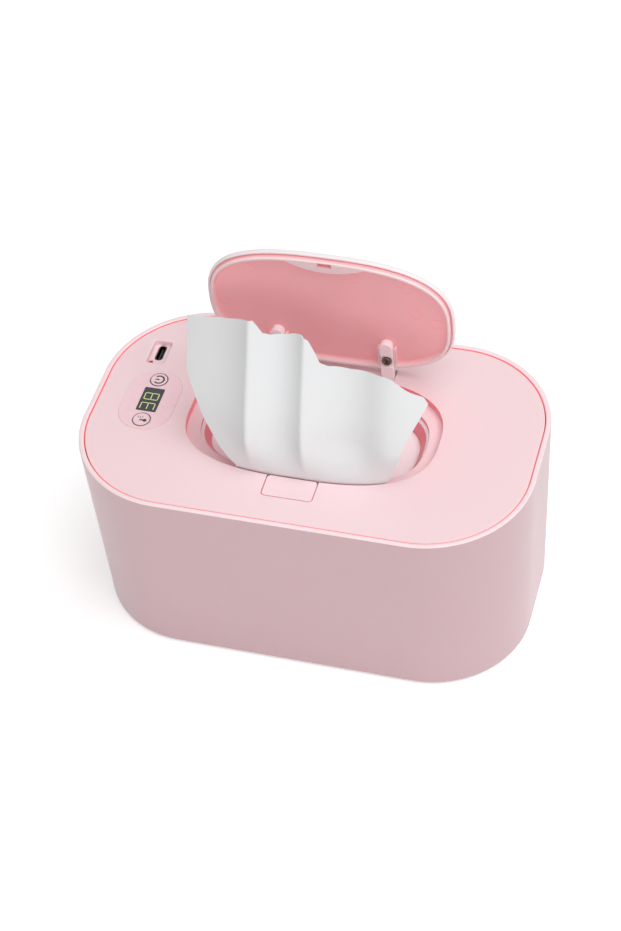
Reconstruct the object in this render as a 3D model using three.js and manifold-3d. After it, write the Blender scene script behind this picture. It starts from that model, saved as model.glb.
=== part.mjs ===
// Baby wipe warmer: a casing with large round corners, a lift-off cover, a sprung oval lid over a
// heated outlet, and the electronics in the cover. Millimetres, +Z up, lid shown open, origin on the
// floor under the middle of the casing.
import * as THREE from "three";
import { mergeVertices } from "three/addons/utils/BufferGeometryUtils.js";
import Module from "manifold-3d";

const wasm = await Module();
wasm.setup();

// Fits and facets
const gap = 0.3; // clearance between pieces that touch on the real product
const slack = 0.5; // clearance round a piece that moves in an opening
const overrun = 3; // how far a cutting shape runs past what it cuts
const cornerSteps = 8;
const smallSteps = 4;
const ovalSteps = 48;
const roundSteps = 16;

// Casing
const casingLength = 200;
const casingDepth = 120;
const casingHeight = 93;
const endStraight = 14; // half the straight stretch of each end, between the corners
const draft = 2.5; // how much each side comes in from the rim to the floor
const casingWall = 2.4;
const casingFloor = 2.4;
const rimRadius = 0.8;
const ribDepth = 3;
const ribWidth = 2;
const ribHeight = 12;
const ribSpreadShare = 0.8;

// Feet
const footDrop = 1; // how far the feet stand below the casing
const footRadius = 7;
const footSocket = 1.4;
const footEnd = 34; // foot's centre from the casing's end, and from its side
const footSide = 26;

// Tub and its foam
const tubWall = 1.6;
const tubFlange = 1.6;
const foamThickness = 3;

// Cover
const coverSink = 0.4; // the cover lies a little below the casing's rim
const coverPlate = 2.2;
const coverEdge = 0.6;
const coverDepth = 17; // cover's surface down to the edge of its skirt
const skirtWall = 1.8;
const gasketWidth = 4;
const postRadius = 3.2;

// Lid recess and well
const ovalPower = 2.75; // exponent of the superellipse that lid, recess and well share
const recessEnd = 44.6; // recess from the casing's end, and from its side
const recessSide = 27.6;
const recessDepth = 4;
const recessWall = 1.8;
const ledgeThickness = 1.8;
const ledgeEnd = 5.8; // width of the ledge round the hole, at its ends and at its sides
const ledgeSide = 6;
const wellDepth = 12.6; // cover's surface down to the well's floor
const wellTaper = 3.6;
const wellWall = 1.5;
const underPlate = 1.8;
const outletInset = 9; // outlet from the end of the well's floor
const outletHalfY = 6.5;

// Heater
const plateThickness = 1;
const plateEnd = 20; // plate from the casing's end, and from its side
const plateSide = 22;
const plateStraight = 8; // half the straight stretch of the plate's ends
const filmThickness = 0.3;
const filmMargin = 5; // inside the plate's edge and round the outlet
const sensorBeside = 4.4; // past the end of the hole, and in from its side
const sensorInset = 5.4;
const sensorRadius = 1.6;
const sensorHeight = 5;
const fuseRadius = 1.6;
const fuseLength = 9;
const fuseInset = 3.4; // in from the recess's end, and in front of the recess
const fuseBeside = 2.6;

// Board and what stands on it
const boardThickness = 1.6;
const boardLift = 0.9; // posts under the board
const boardInset = 8;
const boardBeside = 3.3; // from the recess's wall
const boardPastLabel = 6;
const boardPastSocket = 7.2;
const boardHoleInset = 4; // holes from the board's edges, or from the room round a cover's post
const boardPostRoom = 1.8;
const switchSide = 6;
const switchHeight = 3.5;
const plungerRadius = 1.7;
const moduleHeight = 7;
const leadRadius = 1.1;
const leadReach = 4.6;
const leadY = -8;

// Control panel
const panelEnd = 25.8; // panel's centre from the casing's end
const panelY = 0;
const labelHalfX = 12;
const labelHalfY = 18;
const labelCorner = 11.5;
const labelPocket = 0.4;
const labelThickness = 0.4;
const keyRadius = 4.1;
const keyReach = 12.4; // key centre from the panel's centre
const keyFlange = 0.9;
const keyFlangeThickness = 0.8;
const keyProud = 0.25;
const windowHalfX = 4.55;
const windowHalfY = 7.1;
const windowCorner = 0.5;
const windowProud = 0.15;

// USB-C socket in its pocket, and the light beside it
const usbEnd = 19.8; // socket from the casing's end, and behind the panel's centre
const usbReach = 31.8;
const usbLength = 8.94;
const usbWidth = 3.16;
const usbWall = 0.3;
const usbMouthDepth = 5;
const usbTongue = 0.7;
const usbTongueSetback = 0.8;
const usbTongueReach = 3.3;
const pocketLength = 14.1;
const pocketWidth = 8.2;
const pocketDepth = 3;
const pocketCorner = 1.4;
const pocketFloor = 1.2;
const pocketShiftX = 0.4; // pocket's centre from the socket's
const pocketShiftY = -2.2;
const lightRadius = 0.6;
const lightShiftX = -2.6;
const lightShiftY = -6.3;

// Screws
const coverScrewEnd = 38; // screw from the casing's end, and from its side
const coverScrewSide = 16;
const coverScrewRadius = 1.3;
const coverScrewHeadRadius = 2.5;
const coverScrewHeadHeight = 1.6;
const coverScrewGrip = 6; // length in the cover's post
const boardScrewRadius = 1;
const boardScrewHeadRadius = 1.9;
const boardScrewHeadHeight = 1.2;

// Lid
const lidGap = 0.6; // all round, between the lid and its recess
const lidEdgeHeight = 2.7; // from the foot of the band up to where the crown starts
const lidEdgeRadius = 1.3;
const lidCrown = 0.6;
const lidCrownInset = 12;
const lidPlate = 0.9; // from the underside of the outer plate up to its edge
const lidBand = 1;
const lidBandRise = 0.9; // sloped foot of the band, so that the rear edge clears the recess
const lidBandFoot = 0.3;
const lidSeam = 0.7; // groove between the band and the tray's lip
const lipWidth = 1.5;
const lipRound = 0.4;
const lipStand = 2; // lip below the foot of the band
const trayDepth = 2.7;
const tabHalf = 17;
const tabSag = 4; // how far the tab's edge bows towards the middle of the lid
const tabThickness = 1.2;
const catchHalf = 3.1;
const catchInset = 2.2; // catch slot's outer edge from the lid's front edge
const catchLength = 2.5;
const finThickness = 1.1;
const finReach = 15; // from the lid's rear edge
const finInset = 0.4; // fin's edge short of the lip's

// Hinge
const openAngle = 88; // degrees from shut to the open rest pose
const pivotBehind = 3.6; // pivot behind the recess's rear edge
const pivotSink = 2.6; // pivot below the cover's surface
const barrelRadius = 2.3;
const pinRadius = 1;
const pinReach = 3; // into the boss at each side
const bossWidth = 4.2;
const bossBack = 3;
const armShift = 0.4; // arm's middle inside a quarter of the hole's length
const armWidth = 5.6;
const armReach = 23.2; // pivot to the arm's round end
const armStep = 9.8; // pivot to the step where the arm drops under the lip
const armScrewReach = 12.6;
const armSeatHalf = 3.2;
const armSeatRise = 1.2; // screw seat above the arm's face
const armScrewRadius = 1.1;
const armScrewHeadRadius = 2.25;
const armScrewHeadHeight = 1.3;
const lidSpringSlot = 3.4; // room for the spring beside the left arm
const lidSpringRadius = 1.9;
const lidSpringTurns = 2.5;

// Latch
const latchHalfX = 11;
const latchReach = 11.4; // button's front edge from the recess
const latchCorner = 1.6;
const latchCap = 2;
const latchTravel = 1; // the ramp is at 45 degrees, so button and hook move alike
const latchFlange = 1;
const latchFlangeThickness = 1.2;
const stemHalfX = 3.6;
const stemFront = 8.3; // stem's front face from the recess
const stemBack = 4.3;
const stemDrop = 6.6;
const hookBase = 1.6;
const hookLift = 0.7; // guide's pad above the well's floor
const hookHalf = 2.8;
const hookThickness = 0.8;
const hookNose = 0.8;
const riserThickness = 1.2;
const guideWall = 1.4;
const guideHeight = 2.6;
const latchSpringLength = 4.6;
const latchSpringRadius = 1.8;
const latchSpringTurns = 4;

// Springs' wire
const springWire = 0.5;
const springSides = 5;
const springSteps = 8; // in one turn

// Wipe
const wipeThickness = 1;
const wipeHang = 5; // below the well's floor
const wipeLift = 0.37; // straight up from the floor before it leans forward
const wipeRise = 67.23; // from there to its top edge
const wipeRootInset = 0.9; // behind the outlet's front edge
const wipeFrontInset = 4.4; // behind the hole's front edge, where it bulges furthest forward
const wipeSpreadShare = 1.4432; // half width of the wipe as a share of the outlet's
const wipeBow = 4; // how far its side edges lie behind its middle
const wipeFold = 4.6;
const wipeColumns = 32;
const wipeRows = 17;
const wipeRowPower = 1.4; // above 1, rows lie closer together where the wipe bends out of the outlet
const wipeSpineSteps = 60;
// Side view above wipeLift: share of the way from wipeRoot to wipeForward, share of wipeRise
const wipeSpineShares = [
  [0.007, 0], [0.222, 0.0356], [0.571, 0.0475], [0.893, 0.0821], [1, 0.147], [0.812, 0.287],
  [0.329, 0.59], [-0.341, 1],
];
// Side edges: share of wipeHeight, share of wipeHalf
const wipeLeftShares = [
  [0, -0.58], [0.16, -0.6], [0.22, -0.7], [0.39, -0.81], [0.59, -0.92], [0.78, -0.98], [1, -0.96],
];
const wipeRightShares = [
  [0, 0.58], [0.16, 0.62], [0.2, 0.755], [0.36, 0.843], [0.55, 0.94], [0.7, 1], [1, 1.02],
];
// Top edge: share across, share of wipeHeight
const wipeTopShares = [
  [0, 0.965], [0.02, 0.985], [0.15, 0.99], [0.29, 1], [0.33, 0.95], [0.36, 0.925], [0.5, 0.955],
  [0.52, 0.92], [0.57, 0.8], [0.68, 0.795], [0.79, 0.79], [0.89, 0.735], [1, 0.68],
];
// Folds: share across, half width as a share across, height as a share of wipeFold
const wipeFoldShares = [
  [0.13, 0.04, -0.6], [0.22, 0.05, 0.9], [0.42, 0.035, 0.8], [0.47, 0.03, -0.6],
  [0.68, 0.05, -0.9], [0.8, 0.07, 0.6],
];
const wipeFoldStartShare = 0.09;
const wipeFoldFullShare = 0.3;

// Levels, from the floor up
const shellFloorZ = footDrop + casingFloor;
const padZ = shellFloorZ + gap;
const tubZ = padZ + foamThickness + gap;
const tubFloorZ = tubZ + tubWall;
const rimZ = footDrop + casingHeight;
const coverZ = rimZ - coverSink;
const plateZ = coverZ - coverPlate;
const ledgeZ = coverZ - recessDepth;
const ledgeLowZ = ledgeZ - ledgeThickness;
const wellFloorZ = coverZ - wellDepth;
const underZ = wellFloorZ - underPlate;
const skirtZ = coverZ - coverDepth;
const flangeZ = skirtZ - gap;
const ribZ = flangeZ - tubFlange - gap;
const boardZ = wellFloorZ + boardLift + gap;
const boardTopZ = boardZ + boardThickness;
const onBoardZ = boardTopZ + gap;
const pocketZ = coverZ - pocketDepth;
const mergeZ = plateZ + coverPlate / 2; // middle of the cover's plate, where posts and walls join it

// Levels of the shut lid
const lipZ = ledgeZ + gap;
const bandZ = lipZ + lipStand;
const trayZ = lipZ + trayDepth;
const lidEdgeZ = bandZ + lidEdgeHeight;
const lidUnderZ = lidEdgeZ - lidPlate;
const trayTopZ = lidUnderZ - gap;

// Places that several pieces share
const cornerRadius = casingDepth / 2 - endStraight;
const footX = casingLength / 2 - footEnd;
const footY = casingDepth / 2 - footSide;
const recessHalfX = casingLength / 2 - recessEnd;
const recessHalfY = casingDepth / 2 - recessSide;
const holeHalfX = recessHalfX - ledgeEnd;
const holeHalfY = recessHalfY - ledgeSide;
const outletHalfX = holeHalfX - wellTaper - outletInset;
const sensorX = -holeHalfX - sensorBeside;
const sensorY = holeHalfY - sensorInset;
const coverScrewX = casingLength / 2 - coverScrewEnd;
const coverScrewY = casingDepth / 2 - coverScrewSide;
const coverInset = casingWall + gap;
const tubInset = coverInset + foamThickness + gap;
const lidHalfX = recessHalfX - lidGap;
const lidHalfY = recessHalfY - lidGap;
const pivotY = recessHalfY + pivotBehind;
const pivotZ = coverZ - pivotSink;
const latchFrontY = -recessHalfY - latchReach;
const latchHoleX = latchHalfX + gap;
const catchY = -lidHalfY + catchInset;
const riserY = catchY + gap + latchTravel;
const stemZ = coverZ - latchCap - stemDrop;
const hookZ = wellFloorZ + hookLift + gap;
const wedgeZ = stemZ + (stemFront - stemBack) / 2;
const springBackY = latchFrontY - latchTravel - gap;
const springFrontY = springBackY - latchSpringLength;
const panelX = -casingLength / 2 + panelEnd;
const usbX = -casingLength / 2 + usbEnd;
const usbY = panelY + usbReach;
const pocketX = usbX + pocketShiftX;
const pocketY = usbY + pocketShiftY;
const lightX = usbX + lightShiftX;
const lightY = usbY + lightShiftY;
const boardRight = -recessHalfX - recessWall - boardBeside;
const boardFront = panelY - labelHalfY - boardPastLabel;
const boardBack = usbY + boardPastSocket;
const leadX = boardRight + leadReach;
const armX = holeHalfX / 2 - armShift;
const armPlaces = [["left", -armX, lidSpringSlot], ["right", armX, 0]];
const slotOf = (x, extra) => [x - armWidth / 2 - slack, x + armWidth / 2 + slack + extra];
const keyPlaces = [["power", panelY + keyReach], ["temperature", panelY - keyReach]];
const boardClearBack = Math.min(boardBack, coverScrewY - postRadius - boardPostRoom);
const boardHoles = [
  [boardRight - boardHoleInset, boardFront + boardHoleInset],
  [boardRight - boardHoleInset, boardClearBack - boardHoleInset],
  [-casingLength / 2 + 2 * boardInset, boardFront + boardHoleInset],
];
const corners = (x, y) => [
  ["front_left", -x, -y], ["front_right", x, -y], ["rear_left", -x, y], ["rear_right", x, y],
];

// Outlines are lists of [x, y], anticlockwise from +X
function roundedOutline(halfX, halfY, radius, steps = cornerSteps) {
  const points = [];
  for (const [sideX, sideY, quarter] of [[1, 1, 0], [-1, 1, 1], [-1, -1, 2], [1, -1, 3]]) {
    for (let step = 0; step <= steps; step++) {
      const angle = ((quarter + step / steps) * Math.PI) / 2;
      const x = sideX * (halfX - radius) + radius * Math.cos(angle);
      points.push([x, sideY * (halfY - radius) + radius * Math.sin(angle)]);
    }
  }
  return points;
}

function ovalOutline(halfX, halfY) {
  const bend = (value) => Math.sign(value) * Math.abs(value) ** (2 / ovalPower);
  return Array.from({ length: ovalSteps }, (_, step) => {
    const angle = (2 * Math.PI * step) / ovalSteps;
    return [halfX * bend(Math.cos(angle)), halfY * bend(Math.sin(angle))];
  });
}

const moved = (outline, x, y) => outline.map((point) => [point[0] + x, point[1] + y]);

// The casing's outline at a height, set in from its outer face
function casingOutline(inset, z) {
  const total = inset + (draft * (rimZ - z)) / casingHeight;
  return roundedOutline(casingLength / 2 - total, casingDepth / 2 - total, cornerRadius - total);
}
const casingRing = (inset, z) => ({ outline: casingOutline(inset, z), z });
const ovalRing = (halfX, halfY, z) => ({ outline: ovalOutline(halfX, halfY), z });
const lidRing = (inset, z) => ovalRing(lidHalfX - inset, lidHalfY - inset, z);
const outletOutline = (margin) =>
  roundedOutline(outletHalfX + margin, outletHalfY + margin, outletHalfY + margin - gap, smallSteps);
const labelOutline = (margin) =>
  moved(roundedOutline(labelHalfX + margin, labelHalfY + margin, labelCorner), panelX, panelY);
const usbOutline = (inset) => moved(roundedOutline(usbWidth / 2 - inset, usbLength / 2 - inset,
  usbWidth / 2 - inset - usbWall / 2, smallSteps), usbX, usbY);
const windowOutline = (margin) =>
  moved(roundedOutline(windowHalfX + margin, windowHalfY + margin, windowCorner, smallSteps), panelX, panelY);

// A solid through rings with equal numbers of points. The side of the profile on the right of its
// path is outside. Looped rings close on themselves, and others end in flat caps.
function stack(rings, looped = false) {
  const count = rings[0].outline.length;
  const positions = rings.flatMap(({ outline, z }) => outline.flatMap(([x, y]) => [x, y, z]));
  const faces = [];
  const bands = looped ? rings.length : rings.length - 1;
  for (let ring = 0; ring < bands; ring++) {
    const low = ring * count;
    const high = ((ring + 1) % rings.length) * count;
    for (let side = 0; side < count; side++) {
      const next = (side + 1) % count;
      faces.push(low + side, low + next, high + next, low + side, high + next, high + side);
    }
  }
  if (!looped) {
    const top = (rings.length - 1) * count;
    for (let side = 1; side < count - 1; side++) {
      faces.push(0, side + 1, side, top, top + side, top + side + 1);
    }
  }
  return meshOf(positions, faces);
}

function meshOf(positions, faces) {
  const geometry = new THREE.BufferGeometry();
  geometry.setAttribute("position", new THREE.Float32BufferAttribute(positions, 3));
  geometry.setIndex(faces);
  return geometry;
}

function prism(outline, low, high) {
  const shape = new THREE.Shape(outline.map(([x, y]) => new THREE.Vector2(x, y)));
  const geometry = new THREE.ExtrudeGeometry(shape, { depth: high - low, bevelEnabled: false });
  return geometry.translate(0, 0, low);
}

// A side view, with points in Y and Z, made solid along X
function sideView(points, left, right) {
  const toSide = new THREE.Matrix4().makeBasis(
    new THREE.Vector3(0, 1, 0), new THREE.Vector3(0, 0, 1), new THREE.Vector3(1, 0, 0));
  return prism(points, left, right).applyMatrix4(toSide);
}

function box([lowX, highX], [lowY, highY], [lowZ, highZ]) {
  const geometry = new THREE.BoxGeometry(highX - lowX, highY - lowY, highZ - lowZ);
  return geometry.translate((lowX + highX) / 2, (lowY + highY) / 2, (lowZ + highZ) / 2);
}

const about = (middle, half) => [middle - half, middle + half];

function rod(radius, x, y, low, high, steps = roundSteps) {
  const geometry = new THREE.CylinderGeometry(radius, radius, high - low, steps);
  return geometry.rotateX(Math.PI / 2).translate(x, y, (low + high) / 2);
}

function crossRod(radius, left, right, y, z) {
  const geometry = new THREE.CylinderGeometry(radius, radius, right - left, roundSteps);
  return geometry.rotateZ(Math.PI / 2).translate((left + right) / 2, y, z);
}

function tube(curve, radius, sides, steps) {
  const section = new THREE.Shape();
  section.setFromPoints(Array.from({ length: sides }, (_, side) => {
    const angle = (2 * Math.PI * side) / sides;
    return new THREE.Vector2(radius * Math.cos(angle), radius * Math.sin(angle));
  }));
  return new THREE.ExtrudeGeometry(section, { steps, extrudePath: curve, bevelEnabled: false });
}

// A spring's centre line, with place(across, up, along) giving its points
class Helix extends THREE.Curve {
  constructor(radius, length, turns, place) {
    super();
    Object.assign(this, { radius, length, turns, place });
  }

  getPoint(share, target = new THREE.Vector3()) {
    const angle = 2 * Math.PI * this.turns * share;
    const across = this.radius * Math.cos(angle);
    return target.copy(this.place(across, this.radius * Math.sin(angle), this.length * share));
  }
}

// Least clear gap between a spring's turns, measured on points of its centre line
function leastGap(helix) {
  const points = helix.getPoints(helix.turns * springSteps);
  const gaps = points.flatMap((point, index) =>
    points.slice(index + springSteps / 2).map((other) => point.distanceTo(other) - springWire));
  return Math.min(...gaps);
}

function spring(name, helix) {
  console.log(`${name}: least gap between turns ${leastGap(helix).toFixed(2)} mm`);
  return tube(helix, springWire / 2, springSides, helix.turns * springSteps);
}

// Geometry to a solid and back
function solid(geometry) {
  const bare = geometry.clone();
  bare.deleteAttribute("normal");
  bare.deleteAttribute("uv");
  const merged = mergeVertices(bare);
  return new wasm.Manifold(new wasm.Mesh({
    numProp: 3,
    vertProperties: new Float32Array(merged.attributes.position.array),
    triVerts: new Uint32Array(merged.index.array),
  }));
}

function surface(body) {
  const mesh = body.getMesh();
  const geometry = new THREE.BufferGeometry();
  geometry.setAttribute("position", new THREE.BufferAttribute(mesh.vertProperties, 3));
  geometry.setIndex(new THREE.BufferAttribute(mesh.triVerts, 1));
  return geometry;
}

function cut(body, ...tools) {
  return surface(tools.reduce((rest, tool) => rest.subtract(solid(tool)), solid(body)));
}

function join(body, ...others) {
  return surface(others.reduce((whole, other) => whole.add(solid(other)), solid(body)));
}

const common = (first, second) => surface(solid(first).intersect(solid(second)));

const finishes = {
  casing: { color: 0xdcc2c7, roughness: 0.5, metalness: 0 },
  cover: { color: 0xf8dbdf, roughness: 0.45, metalness: 0 },
  lid: { color: 0xf3cdd3, roughness: 0.4, metalness: 0 },
  tray: { color: 0xde9b9e, roughness: 0.45, metalness: 0 },
  well: { color: 0xe8a9b1, roughness: 0.45, metalness: 0 },
  label: { color: 0xf8ccd7, roughness: 0.35, metalness: 0 },
  window: { color: 0x3c4650, roughness: 0.15, metalness: 0 },
  liner: { color: 0xf4eeee, roughness: 0.5, metalness: 0 },
  foam: { color: 0xd8d8d6, roughness: 0.95, metalness: 0 },
  rubber: { color: 0xcfc8c8, roughness: 0.8, metalness: 0 },
  steel: { color: 0xb9b6b0, roughness: 0.3, metalness: 1 },
  aluminium: { color: 0xc9ccd0, roughness: 0.4, metalness: 1 },
  film: { color: 0xc07a2c, roughness: 0.4, metalness: 0 },
  board: { color: 0x2f6b4a, roughness: 0.5, metalness: 0 },
  black: { color: 0x1c1c1e, roughness: 0.5, metalness: 0 },
  light: { color: 0x8e2430, roughness: 0.3, metalness: 0 },
  cloth: { color: 0xf0f0ef, roughness: 0.95, metalness: 0 },
};

const warmer = new THREE.Group();
const lid = new THREE.Group();

function place(name, finish, geometry, parent = warmer) {
  const mesh = new THREE.Mesh(geometry, new THREE.MeshStandardMaterial(finishes[finish]));
  mesh.name = name;
  parent.add(mesh);
}

// Casing: floor, drafted walls, rolled rim, ribs under the tub's flange, sockets for the feet
function outerShell() {
  const shell = stack([
    casingRing(rimRadius, footDrop),
    casingRing(0, footDrop + rimRadius),
    casingRing(0, rimZ - rimRadius),
    casingRing(rimRadius / 3, rimZ - rimRadius / 3),
    casingRing(rimRadius, rimZ),
    casingRing(casingWall - rimRadius / 2, rimZ),
    casingRing(casingWall, rimZ - rimRadius / 2),
    casingRing(casingWall, shellFloorZ),
  ]);
  const levels = [ribZ - ribHeight, ribZ];
  const reach = (half, side) => {
    const ends = [side * (half - casingWall - ribDepth), side * (half - casingWall / 2)];
    return ends.sort((first, second) => first - second);
  };
  const spread = (casingLength / 2 - cornerRadius) * ribSpreadShare;
  const ribs = [-1, 1].flatMap((side) => [
    box(reach(casingLength / 2, side), about(0, ribWidth / 2), levels),
    ...[-spread, 0, spread].map((x) => box(about(x, ribWidth / 2), reach(casingDepth / 2, side), levels)),
  ]);
  const sockets = corners(footX, footY).map(([, x, y]) =>
    rod(footRadius + gap, x, y, footDrop - overrun, footDrop + footSocket, 2 * roundSteps));
  return cut(join(shell, ...ribs), ...sockets);
}
place("outer_shell", "casing", outerShell());

for (const [name, x, y] of corners(footX, footY)) {
  const top = footDrop + footSocket - gap;
  const profile = [
    [0, 0], [footRadius - footDrop / 2, 0], [footRadius, footDrop / 2], [footRadius, top], [0, top],
  ];
  const foot = new THREE.LatheGeometry(profile.map((point) => new THREE.Vector2(...point)), 2 * roundSteps);
  place(`foot_${name}`, "rubber", foot.rotateX(Math.PI / 2).translate(x, y, 0));
}

// Tub: hangs by its flange on the ribs, in a foam sleeve and over a foam pad
place("inner_tub", "liner", stack([
  casingRing(tubInset + tubWall, tubZ),
  casingRing(tubInset, tubFloorZ),
  casingRing(tubInset, flangeZ - tubFlange),
  casingRing(coverInset, flangeZ - tubFlange),
  casingRing(coverInset, flangeZ),
  casingRing(tubInset + tubWall, flangeZ),
  casingRing(tubInset + tubWall, tubFloorZ + tubWall),
  casingRing(tubInset + 2 * tubWall, tubFloorZ),
]));
const sleeveTop = ribZ - ribHeight - gap;
place("insulation_sleeve", "foam", stack([
  casingRing(coverInset, padZ),
  casingRing(coverInset, sleeveTop),
  casingRing(coverInset + foamThickness, sleeveTop),
  casingRing(coverInset + foamThickness, padZ),
], true));
place("insulation_pad", "foam", stack([
  casingRing(tubInset + tubWall, padZ),
  casingRing(tubInset + tubWall, padZ + foamThickness),
]));

// Cover: plate and skirt, recess cup with its ledge, hinge bosses, screw posts and the panel's openings
function topCover() {
  const plate = stack([
    casingRing(coverInset, skirtZ),
    casingRing(coverInset, coverZ - coverEdge),
    casingRing(coverInset + coverEdge, coverZ),
  ]);
  const hollow = stack([
    casingRing(coverInset + skirtWall, skirtZ - overrun),
    casingRing(coverInset + skirtWall, plateZ),
  ]);
  const cup = stack([
    ovalRing(recessHalfX + recessWall, recessHalfY + recessWall, ledgeLowZ),
    ovalRing(recessHalfX + recessWall, recessHalfY + recessWall, mergeZ),
  ]);
  const bossZ = pivotZ - pinRadius - bossBack;
  const bosses = armPlaces.map(([, x, extra]) => {
    const [left, right] = slotOf(x, extra);
    return box([left - bossWidth, right + bossWidth], [recessHalfY - recessWall, pivotY + bossBack],
      [bossZ, mergeZ]);
  });
  const posts = corners(coverScrewX, coverScrewY).map(([, x, y]) =>
    rod(postRadius, x, y, wellFloorZ + gap, mergeZ));
  const pocketOutline = (margin) => moved(roundedOutline(pocketWidth / 2 + margin,
    pocketLength / 2 + margin, pocketCorner + margin, smallSteps), pocketX, pocketY);
  const pocket = prism(pocketOutline(pocketFloor), pocketZ - pocketFloor, mergeZ);

  const tools = [
    stack([ovalRing(recessHalfX, recessHalfY, ledgeZ), ovalRing(recessHalfX, recessHalfY, coverZ + overrun)]),
    stack([ovalRing(holeHalfX, holeHalfY, ledgeLowZ - overrun), ovalRing(holeHalfX, holeHalfY, coverZ)]),
    prism(pocketOutline(0), pocketZ, coverZ + overrun),
    prism(usbOutline(-gap), pocketZ - overrun, pocketZ + overrun),
    rod(lightRadius + gap, lightX, lightY, pocketZ - overrun, pocketZ + overrun),
    prism(labelOutline(gap), coverZ - labelPocket, coverZ + overrun),
    prism(windowOutline(gap), plateZ - overrun, coverZ + overrun),
  ];
  for (const [, x, extra] of armPlaces) {
    const [left, right] = slotOf(x, extra);
    tools.push(box([left, right], [holeHalfY / 2, pivotY + barrelRadius + slack],
      [ledgeLowZ - overrun, coverZ + overrun]));
    tools.push(crossRod(pinRadius + gap, left - pinReach - gap, right + pinReach + gap, pivotY, pivotZ));
  }
  for (const [, x, y] of corners(coverScrewX, coverScrewY)) {
    tools.push(rod(coverScrewRadius + gap, x, y, wellFloorZ, plateZ));
  }
  for (const [, y] of keyPlaces) {
    tools.push(rod(keyRadius + gap, panelX, y, plateZ - overrun, coverZ + overrun, 2 * roundSteps));
  }
  // The button's opening runs into the recess, where only the button's cap comes through the cup
  tools.push(box(about(0, latchHoleX), [latchFrontY - gap, -recessHalfY + latchCap],
    [plateZ - gap, coverZ + overrun]));
  tools.push(box(about(0, latchHoleX), [-recessHalfY - recessWall - slack, -recessHalfY + latchCap],
    [coverZ - latchCap - latchTravel - slack, coverZ + overrun]));
  tools.push(box(about(0, hookHalf + slack),
    [riserY - riserThickness - latchTravel - slack, riserY + hookThickness + slack],
    [ledgeLowZ - overrun, ledgeZ + overrun / 2]));
  return cut(join(surface(solid(plate).subtract(solid(hollow))), cup, ...bosses, ...posts, pocket), ...tools);
}
place("top_cover", "cover", topCover());

// Under cover: the well's wall and floor with the outlet, the board's posts and the latch's guide
function underCover() {
  const innerInset = coverInset + skirtWall + gap;
  const collarZ = ledgeLowZ - gap;
  const plate = stack([casingRing(innerInset, underZ), casingRing(innerInset, wellFloorZ)]);
  const joinZ = underZ + underPlate / 2;
  const collar = stack([
    ovalRing(holeHalfX - wellTaper + wellWall, holeHalfY - wellTaper + wellWall, joinZ),
    ovalRing(holeHalfX + wellWall, holeHalfY + wellWall, collarZ),
  ]);
  const well = stack([
    ovalRing(holeHalfX - wellTaper, holeHalfY - wellTaper, wellFloorZ),
    ovalRing(holeHalfX, holeHalfY, ledgeZ),
  ]);
  const posts = boardHoles.map(([x, y]) => rod(postRadius, x, y, joinZ, boardZ - gap));
  const guideY = [latchFrontY - latchTravel, -holeHalfY - wellWall - gap];
  const guide = box(about(0, stemHalfX + slack + guideWall), guideY, [joinZ, hookZ + guideHeight]);
  const channel = box(about(0, stemHalfX + slack), [guideY[0] - overrun, guideY[1] + overrun / 2],
    [hookZ - gap, hookZ + guideHeight + overrun]);
  const guideCut = cut(guide, channel);
  const springWall = box(about(0, latchSpringRadius + springWire),
    [springFrontY - gap - guideWall, springFrontY - gap], [joinZ, wedgeZ]);
  const tools = [
    well,
    prism(outletOutline(0), underZ - overrun, wellFloorZ + overrun),
    rod(sensorRadius + gap, sensorX, sensorY, underZ - overrun, wellFloorZ + overrun),
    rod(leadRadius + gap, leadX, leadY, underZ - overrun, wellFloorZ + overrun),
  ];
  for (const [, x, y] of corners(coverScrewX, coverScrewY)) {
    tools.push(rod(coverScrewRadius + gap, x, y, underZ - overrun, wellFloorZ + overrun));
  }
  for (const [x, y] of boardHoles) {
    tools.push(rod(boardScrewRadius + gap, x, y, joinZ, boardZ + overrun));
  }
  return cut(join(plate, collar, ...posts, guideCut, springWall), ...tools);
}
place("under_cover", "well", underCover());

const gasketInset = coverInset + skirtWall + gap;
place("cover_gasket", "rubber", stack([
  casingRing(gasketInset, flangeZ + gap),
  casingRing(gasketInset, underZ - gap),
  casingRing(gasketInset + gasketWidth, underZ - gap),
  casingRing(gasketInset + gasketWidth, flangeZ + gap),
], true));

for (const [name, x, y] of corners(coverScrewX, coverScrewY)) {
  const headZ = underZ - gap - coverScrewHeadHeight;
  place(`cover_screw_${name}`, "steel", join(
    rod(coverScrewHeadRadius, x, y, headZ, headZ + coverScrewHeadHeight),
    rod(coverScrewRadius, x, y, headZ + coverScrewHeadHeight / 2, wellFloorZ + coverScrewGrip)));
}

// Heater: a film on an aluminium plate under the well's floor, its sensor, its fuse and its lead
const filmTopZ = underZ - gap;
const filmZ = filmTopZ - filmThickness;
const hotPlateTopZ = filmZ - gap;
const plateHalfX = casingLength / 2 - plateEnd;
const plateHalfY = casingDepth / 2 - plateSide;
const plateOutline = (inset) =>
  roundedOutline(plateHalfX - inset, plateHalfY - inset, plateHalfY - plateStraight - inset);
const fuseX = fuseInset - recessHalfX;
const fuseY = -recessHalfY - fuseBeside;
place("heater_film", "film", cut(
  prism(plateOutline(filmMargin), filmZ, filmTopZ),
  prism(outletOutline(filmMargin), filmZ - overrun, filmTopZ + overrun),
  rod(sensorRadius + gap, sensorX, sensorY, filmZ - overrun, filmTopZ + overrun),
));
place("warming_plate", "aluminium", cut(
  prism(plateOutline(0), hotPlateTopZ - plateThickness, hotPlateTopZ),
  prism(outletOutline(0), hotPlateTopZ - overrun, hotPlateTopZ + overrun),
));
place("thermistor", "black",
  rod(sensorRadius, sensorX, sensorY, hotPlateTopZ + gap, hotPlateTopZ + gap + sensorHeight));
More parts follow.
